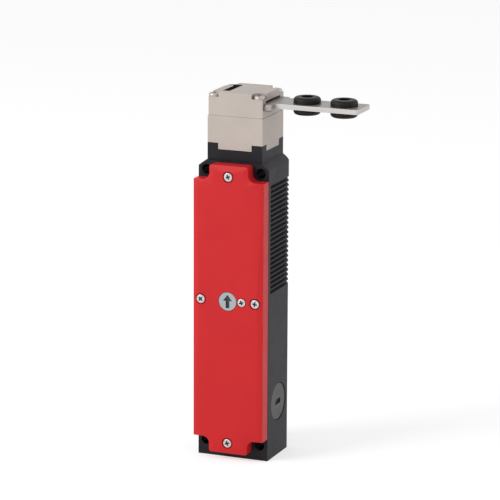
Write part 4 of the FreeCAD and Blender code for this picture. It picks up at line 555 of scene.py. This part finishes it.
def screw_head(form, radius, recess):
    """A screw head that points up, its top at 0, with a cross recess painted darker as shade.
    """
    shape = bmesh.new()
    level = radius * form.flat
    bmesh.ops.create_circle(shape, cap_ends=False, radius=level, segments=HEAD_SIDES)
    ring_edges = shape.edges[:]
    wing = recess * CROSS_WING
    flank = recess * CROSS_FLANK
    corners = []
    for arm in range(CROSS_ARMS):
        spin = Matrix.Rotation(arm * math.tau / CROSS_ARMS, 4, "Z")
        for x, y in ((recess, -wing), (recess, wing), (flank, flank)):
            corners.append(shape.verts.new(spin @ Vector((x, y, 0.0))))
    cross_edges = [shape.edges.new(pair) for pair in zip(corners, corners[1:] + corners[:1])]
    bmesh.ops.bridge_loops(shape, edges=ring_edges + cross_edges)
    floor = bmesh.ops.contextual_create(shape, geom=cross_edges)["faces"]
    dug = bmesh.ops.extrude_discrete_faces(shape, faces=floor)["faces"]
    for vert in dug[0].verts:
        vert.co = Vector((vert.co.x * CROSS_TAPER, vert.co.y * CROSS_TAPER, -form.deep))
    sides = [edge for edge in shape.edges if edge.is_boundary]
    for step in range(1, RIM_STEPS + 1):
        turn = step / RIM_STEPS * math.pi / 2
        wide = level + (radius - level) * math.sin(turn)
        drop = -form.rim * (1 - math.cos(turn))
        grown = bmesh.ops.extrude_edge_only(shape, edges=sides)["geom"]
        for vert in items_of(grown, bmesh.types.BMVert):
            outward = Vector((vert.co.x, vert.co.y, 0.0)).normalized() * wide
            vert.co = Vector((outward.x, outward.y, drop))
        sides = items_of(grown, bmesh.types.BMEdge)
    grown = bmesh.ops.extrude_edge_only(shape, edges=sides)["geom"]
    for vert in items_of(grown, bmesh.types.BMVert):
        vert.co.z = -form.height
    bmesh.ops.contextual_create(shape, geom=items_of(grown, bmesh.types.BMEdge))
    bmesh.ops.recalc_face_normals(shape, faces=shape.faces)
    # the faces of the cross take the second material, a painted shade
    for face in shape.faces:
        deepest = min(vert.co.z for vert in face.verts)
        reach = max(vert.co.to_2d().length for vert in face.verts)
        in_cross = reach < recess * CROSS_RIM and deepest < -CROSS_START * form.deep
        face.material_index = 1 if in_cross else 0
    return shape


def shank(radius, length):
    """A plain screw shank that hangs below its head."""
    profile = [(0.0, 0.0), (radius, 0.0), (radius, -length + radius * SHANK_POINT),
               (radius * SHANK_POINT, -length), (0.0, -length)]
    return turned(profile, SHANK_SIDES)


def make_screw_set(name, node, form, places, radius, length):
    """Screws that stand for one CAD node; length is that of head and shank."""
    group = bmesh.new()
    below = Matrix.Translation((0, 0, -form.height))
    for index, place in enumerate(places):
        turn = Matrix.Rotation(form.spin + index * TURN_BETWEEN_SCREWS, 4, "Z")
        matrix = Matrix.Translation(place) @ form.facing @ turn
        join_shapes(group, screw_head(form, radius, CROSS_REACH[node]), matrix)
        join_shapes(group, shank(form.shank, length - form.height), matrix @ below)
    make_piece(name, finish_mesh(group, name), [form.metal, SCREW_RECESS_PAINTED_SHADE], node)


# solids are put in order by height, then from left to right, then from front to back
SORT_AXES = (2, 0, 1)
SORT_DIGITS = 4


def node_islands(node):
    """Box of each separate solid in a CAD node, always in the same order."""
    shape = bmesh.new()
    shape.from_mesh(frame["nodes"][node].data)
    bmesh.ops.remove_doubles(shape, verts=shape.verts, dist=MERGE_GAP)
    boxes = []
    left = set(shape.verts)
    while left:
        stack = [left.pop()]
        group = list(stack)
        while stack:
            for edge in stack.pop().link_edges:
                for vert in edge.verts:
                    if vert in left:
                        left.remove(vert)
                        stack.append(vert)
                        group.append(vert)
        low = Vector([min(vert.co[axis] for vert in group) for axis in range(3)])
        high = Vector([max(vert.co[axis] for vert in group) for axis in range(3)])
        boxes.append((low, high))
    shape.free()
    return sorted(boxes, key=lambda box: [round(box[0][axis], SORT_DIGITS)
                                          for axis in SORT_AXES])


def front_screws(name, node):
    """Screws on the front of the cover, free of their seats."""
    boxes = node_islands(node)
    places = [Vector(((low.x + high.x) / 2, low.y, (low.z + high.z) / 2))
              for low, high in boxes]
    size = boxes[-1][1] - boxes[-1][0]
    make_screw_set(name, node, COVER_SCREW, places, size.x / 2 - SEAT_GAP, size.y)


def top_screws(name, node):
    """Screws on top of the operating head."""
    boxes = node_islands(node)
    places = [Vector(((low.x + high.x) / 2, (low.y + high.y) / 2, high.z))
              for low, high in boxes]
    size = boxes[-1][1] - boxes[-1][0]
    make_screw_set(name, node, HEAD_SCREW, places, size.x / 2, size.z)


# ---------------------------------------------------------------- rubber bushes

BUSH_BORE = 2.65 * MM
BUSH_ROUND = 1.7 * MM
BUSH_LIP = 0.35 * MM
BUSH_NECK_WALL = 2.5 * MM
BUSH_SEAT_GAP = 0.05 * MM
# how far out from the bore the painted shade reaches
BUSH_BORE_PAINTED_SHADE = 0.2 * MM
BUSH_CREASE = math.radians(50.0)
BUSH_SIDES = 64
QUARTER_STEPS = 6
STRIP_THICK = 2.5 * MM
STRIP_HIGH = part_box("actuator_tongue")[1].z


def flange_round(outer, face, side):
    """Quarter round between the rim of a bush flange and its flat face; side is 1 or -1."""
    points = []
    for step in range(QUARTER_STEPS + 1):
        turn = step / QUARTER_STEPS * math.pi / 2
        points.append((outer - BUSH_ROUND + BUSH_ROUND * math.cos(turn),
                       face - side * BUSH_ROUND * (1 - math.sin(turn))))
    return points


def make_bushes():
    """Two soft rubber bushes that hold the tongue between their flanges."""
    group = bmesh.new()
    strip_high = STRIP_HIGH + BUSH_SEAT_GAP
    strip_low = strip_high - STRIP_THICK - 2 * BUSH_SEAT_GAP
    centres = []
    for low, high in node_islands("tongue_bushes"):
        centre = ((low.x + high.x) / 2, (low.y + high.y) / 2)
        centres.append(Vector(centre))
        outer = (high.x - low.x) / 2
        neck = outer - BUSH_NECK_WALL
        lower = list(reversed(flange_round(outer, low.z, -1)))
        upper = flange_round(outer, high.z, 1)
        profile = [(BUSH_BORE, low.z + BUSH_LIP), (BUSH_BORE + BUSH_LIP, low.z)]
        profile += lower
        profile += [(outer, strip_low), (neck, strip_low), (neck, strip_high),
                    (outer, strip_high)]
        profile += upper
        profile += [(BUSH_BORE + BUSH_LIP, high.z), (BUSH_BORE, high.z - BUSH_LIP),
                    (BUSH_BORE, low.z + BUSH_LIP)]
        join_shapes(group, turned(profile, BUSH_SIDES, centre), Matrix.Identity(4))
    # faces inside the bore take the near-black painted shade
    for face in group.faces:
        middle = face.calc_center_median().to_2d()
        nearest = min((middle - centre).length for centre in centres)
        face.material_index = 1 if nearest < BUSH_BORE + BUSH_BORE_PAINTED_SHADE else 0
    mesh = finish_mesh(group, "bush_rings", BUSH_CREASE)
    make_piece("bush_rings", mesh, [BUSH_RUBBER, BORE_PAINTED_SHADE], "tongue_bushes")


# ---------------------------------------------------------------- dial and operating head

DIAL_RIM = 4.4 * MM
DIAL_THICK = 1.25 * MM
DIAL_FACE = 0.15 * MM
DIAL_SHRINK = 0.968
ARROW_GROWTH = (1.32, 1.0, 1.28)
ARROW_DEEP = 1.0 * MM


def dress_dial():
    """The dial of the auxiliary release with its driver arrow, free of the cover's hole."""
    low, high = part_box("auxiliary_release")
    centre = Vector((0.0, 0.0, (low.z + high.z) / 2))
    shape = merged_copy("auxiliary_release")

    def off_axis(point):
        return Vector((point.x - centre.x, point.z - centre.z)).length

    arrow = [vert for vert in shape.verts
             if off_axis(vert.co) < DIAL_RIM and vert.co.y < low.y + ARROW_DEEP]
    rim = [vert for vert in shape.verts
           if off_axis(vert.co) > DIAL_RIM and vert.co.y < low.y + DIAL_THICK]
    about = Matrix.Translation(-centre)
    bmesh.ops.scale(shape, vec=ARROW_GROWTH, verts=arrow, space=about)
    bmesh.ops.scale(shape, vec=(DIAL_SHRINK, 1.0, DIAL_SHRINK), verts=rim, space=about)
    soften_edges(shape, EDGE_ROUND["auxiliary_release"])
    for face in shape.faces:
        middle = face.calc_center_median()
        inside = off_axis(middle) < DIAL_RIM
        deep = low.y + DIAL_FACE < middle.y < low.y + DIAL_THICK
        face.material_index = 1 if inside and deep else 0
    mesh = finish_mesh(shape, "release_dial")
    piece = make_piece("release_dial", mesh, [DIAL_GREY, RECESS_DARK], "auxiliary_release")
    even_normals(piece)


SCREW_REACH = 3.3 * MM
CORNER_REACH = 6.0 * MM
CAP_SEAT = 2.5 * MM


def carve(shape, cutter):
    """What is left of a closed shape once the cutter is taken away."""
    pieces = []
    for name, source in (("carved", shape), ("cutter", cutter)):
        mesh = bpy.data.meshes.new(name)
        source.to_mesh(mesh)
        source.free()
        pieces.append(bpy.data.objects.new(name, mesh))
        bpy.context.collection.objects.link(pieces[-1])
    modifier = pieces[0].modifiers.new("carve", "BOOLEAN")
    modifier.operation = "DIFFERENCE"
    modifier.solver = "EXACT"
    modifier.object = pieces[1]
    evaluated = pieces[0].evaluated_get(bpy.context.evaluated_depsgraph_get())
    result = bmesh.new()
    result.from_mesh(evaluated.to_mesh())
    evaluated.to_mesh_clear()
    for item in pieces:
        mesh = item.data
        bpy.data.objects.remove(item)
        bpy.data.meshes.remove(mesh)
    return result


def block(low, high):
    """A closed block between two corners."""
    shape = bmesh.new()
    bmesh.ops.create_cube(shape, size=1.0)
    low, high = Vector(low), Vector(high)
    size = high - low
    shape.transform(Matrix.Translation((low + high) / 2) @ Matrix.Diagonal((*size, 1.0)))
    return shape


def cap_with_open_corners(node):
    """The head's cap with its screw seats open to both faces of each corner."""
    shape = merged_copy(node)
    low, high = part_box(node)
    middle_y = (low.y + high.y) / 2
    for screw_low, screw_high in node_islands("head_screws"):
        x = (screw_low.x + screw_high.x) / 2
        y = (screw_low.y + screw_high.y) / 2
        out_x = math.copysign(1.0, x)
        out_y = math.copysign(1.0, y - middle_y)
        for back_x, back_y in ((SCREW_REACH, 0.0), (0.0, SCREW_REACH)):
            xs = sorted((x - out_x * back_x, x + out_x * CORNER_REACH))
            ys = sorted((y - out_y * back_y, y + out_y * CORNER_REACH))
            shape = carve(shape, block((xs[0], ys[0], high.z - CAP_SEAT),
                                       (xs[1], ys[1], high.z + CAP_SEAT)))
    return shape


COVER_BORE_NEAR = 2.2 * MM
COVER_BORE_FAR = 2.85 * MM
COVER_BORE_GROWTH = 1.10


def cover_with_free_screws(node):
    """The cover with a shadow gap round each of its own screws."""
    shape = merged_copy(node)
    for low, high in node_islands("cover_screws"):
        centre = Vector(((low.x + high.x) / 2, 0.0, (low.z + high.z) / 2))
        near = [vert for vert in shape.verts if COVER_BORE_NEAR
                < Vector((vert.co.x - centre.x, vert.co.z - centre.z)).length < COVER_BORE_FAR]
        bmesh.ops.scale(shape, vec=(COVER_BORE_GROWTH, 1.0, COVER_BORE_GROWTH), verts=near,
                        space=Matrix.Translation(-centre))
    return shape


EAR_START = 15.2 * MM
EAR_END = 19.4 * MM
STRIP_LOW = STRIP_HIGH - STRIP_THICK
# how much of a face's normal points up or down
ROLLED_FACE = 0.8
SLOT_WALL = 0.5


def tongue_light_and_shade(face):
    """0 for the rolled faces, 1 for the sheared edges, 2 for the ears: the edges and the ears
    are painted lighter than the rolled faces.
    """
    middle = face.calc_center_median()
    upright = abs(face.normal.z)
    if EAR_START < middle.x < EAR_END and (middle.z < STRIP_LOW or upright < ROLLED_FACE):
        return 2
    return 0 if upright > ROLLED_FACE else 1


# box of the top slot whose walls take painted shade
TOP_SLOT_X = (-10.3 * MM, -4.9 * MM)
TOP_SLOT_Y = (-23.8 * MM, -4.9 * MM)


def in_top_slot(face):
    """1 for the walls of the slot in the top of the head, which take painted shade, 0 for the
    rest.
    """
    middle = face.calc_center_median()
    within = (TOP_SLOT_X[0] < middle.x < TOP_SLOT_X[1]
              and TOP_SLOT_Y[0] < middle.y < TOP_SLOT_Y[1])
    return 1 if within and abs(face.normal.z) < SLOT_WALL else 0


# ---------------------------------------------------------------- coil springs

# radius of the wire and number of turns
SPRING_SIZES = {"plunger_spring": (0.4 * MM, 4.0), "door_contact_spring": (0.25 * MM, 6.0)}
WIRE_SIDES = 12
STEPS_PER_TURN = 24


def wind_spring(node, low, high):
    """A spring of round wire between the corners of its CAD node's box."""
    wire, turns = SPRING_SIZES[node]
    centre = Vector(((low.x + high.x) / 2, (low.y + high.y) / 2, 0.0))
    mean = min(high.x - low.x, high.y - low.y) / 2 - wire
    steps = int(turns * STEPS_PER_TURN)
    rise = (high.z - low.z - 2 * wire) / steps
    shape = bmesh.new()
    start = Matrix.Translation((centre.x + mean, centre.y, low.z + wire))
    upright = Matrix.Rotation(math.pi / 2, 4, "X")
    bmesh.ops.create_circle(shape, cap_ends=False, radius=wire, segments=WIRE_SIDES,
                            matrix=start @ upright)
    bmesh.ops.spin(shape, geom=shape.verts[:] + shape.edges[:], cent=centre,
                   axis=(0.0, 0.0, 1.0), dvec=(0.0, 0.0, rise), angle=math.tau * turns,
                   steps=steps, use_merge=False, use_duplicate=False)
    ends = [edge for edge in shape.edges if edge.is_boundary]
    bmesh.ops.holes_fill(shape, edges=ends, sides=WIRE_SIDES)
    bmesh.ops.recalc_face_normals(shape, faces=shape.faces)
    return shape


def make_spring(node):
    """A spring of round wire that rides on the body of its CAD node."""
    low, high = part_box(node)
    mesh = finish_mesh(wind_spring(node, low, high), node + "_wire")
    piece = make_piece(node + "_wire", mesh, [SPRING_WIRE], node)
    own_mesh(piece)


# ---------------------------------------------------------------- the object

for node in frame["nodes"]:
    paint_node(node)

dress_node("housing")
dress_node("cover", prepare=cover_with_free_screws)
dress_node("head_base")
dress_node("head_cap", [HEAD_NICKEL, SLOT_PAINTED_SHADE], mark=in_top_slot,
           prepare=cap_with_open_corners)
dress_node("actuator_tongue", [TONGUE_STEEL, TONGUE_EDGE_PAINTED_LIGHT, TONGUE_EAR_PAINTED_LIGHT], mark=tongue_light_and_shade)
dress_dial()
dress_node("entry_plugs")
front_screws("cover_screw_set", "cover_screws")
front_screws("seal_screw_piece", "seal_screw")
top_screws("head_screw_set", "head_screws")
make_bushes()
make_spring("plunger_spring")
make_spring("door_contact_spring")


# ---------------------------------------------------------------- floor, light and camera

WHITE = (1.0, 1.0, 1.0, 1.0)
FLOOR_TONE = (0.72, 0.72, 0.72, 1.0)
FLOOR_ROUGH = 0.95
FLOOR_HALF_WIDTH = 5.0
FLOOR_GLOW = 0.56
WORLD_LIGHT = 0.50


def seen_directly(tree):
    """1 where a camera, mirror or glass ray meets the surface, 0 for soft light."""
    path = tree.nodes.new("ShaderNodeLightPath")
    seen = math_node(tree, "MAXIMUM", path.outputs["Is Camera Ray"],
                     path.outputs["Is Glossy Ray"])
    return math_node(tree, "MAXIMUM", seen, path.outputs["Is Transmission Ray"])


def make_floor():
    """A wide pale floor that keeps the object's shadow."""
    shape = bmesh.new()
    bmesh.ops.create_grid(shape, x_segments=1, y_segments=1, size=FLOOR_HALF_WIDTH)
    shape.transform(Matrix.Translation((0.0, 0.0, cad_box[0][2])))
    mesh = bpy.data.meshes.new("studio_floor")
    shape.to_mesh(mesh)
    shape.free()
    floor = bpy.data.objects.new("studio_floor", mesh)
    bpy.context.collection.objects.link(floor)
    material, tree, shader = start_material("floor_white", metallic=0.0, specular=0.0)
    shader.inputs["Base Color"].default_value = FLOOR_TONE
    shader.inputs["Roughness"].default_value = FLOOR_ROUGH
    shader.inputs["Emission Color"].default_value = WHITE
    glow = math_node(tree, "MULTIPLY", seen_directly(tree), FLOOR_GLOW)
    tree.links.new(glow, shader.inputs["Emission Strength"])
    mesh.materials.append(material)


def make_world():
    """Even soft light from all round, white where it is seen."""
    world = bpy.data.worlds.new("studio_world")
    bpy.context.scene.world = world
    world.use_nodes = True
    tree = world.node_tree
    background = tree.nodes["Background"]
    background.inputs["Color"].default_value = WHITE
    strength = between(tree, seen_directly(tree), WORLD_LIGHT, 1.0)
    tree.links.new(strength, background.inputs["Strength"])


LAMP_TARGET = Vector((0.0, 0.0, 0.02))
KEY_LAMP = {"place": Vector((-0.92, -1.02, 0.66)), "size": 0.7, "power": 11.6}
SIDE_LAMP = {"place": Vector((1.35, 0.25, 0.35)), "size": 0.6, "power": 2.2}


def add_lamp(name, place, size, power):
    """A square soft box that faces the object."""
    data = bpy.data.lights.new(name, "AREA")
    data.shape = "SQUARE"
    data.size = size
    data.energy = power
    lamp = bpy.data.objects.new(name, data)
    bpy.context.collection.objects.link(lamp)
    lamp.location = place
    lamp.rotation_euler = (LAMP_TARGET - place).to_track_quat("-Z", "Y").to_euler()


CAMERA_TARGET = Vector((0.0, -0.017, 0.021))
CAMERA_YAW = math.radians(22.33)
CAMERA_PITCH = math.radians(13.71)
CAMERA_ROLL = math.radians(0.25)
CAMERA_DISTANCE = 1.5408
CAMERA_LENS = 214.68
CAMERA_SHIFT = (0.0139, 0.0264)
CAMERA_SENSOR = 36.0


def make_camera():
    """The camera, a little to the right of the front and above it."""
    data = bpy.data.cameras.new("camera")
    data.lens = CAMERA_LENS
    data.sensor_width = CAMERA_SENSOR
    data.shift_x, data.shift_y = CAMERA_SHIFT
    camera = bpy.data.objects.new("camera", data)
    bpy.context.collection.objects.link(camera)
    back = Vector((math.sin(CAMERA_YAW) * math.cos(CAMERA_PITCH),
                   -math.cos(CAMERA_YAW) * math.cos(CAMERA_PITCH), math.sin(CAMERA_PITCH)))
    right = Vector((math.cos(CAMERA_YAW), math.sin(CAMERA_YAW), 0.0))
    up = back.cross(right)
    turn = Matrix((right, up, back)).transposed() @ Matrix.Rotation(CAMERA_ROLL, 3, "Z")
    place = Matrix.Translation(CAMERA_TARGET + back * CAMERA_DISTANCE)
    camera.matrix_world = place @ turn.to_4x4()
    bpy.context.scene.camera = camera


make_floor()
make_world()
add_lamp("key_lamp", **KEY_LAMP)
add_lamp("side_lamp", **SIDE_LAMP)
make_camera()
bpy.context.scene.view_settings.view_transform = "Standard"
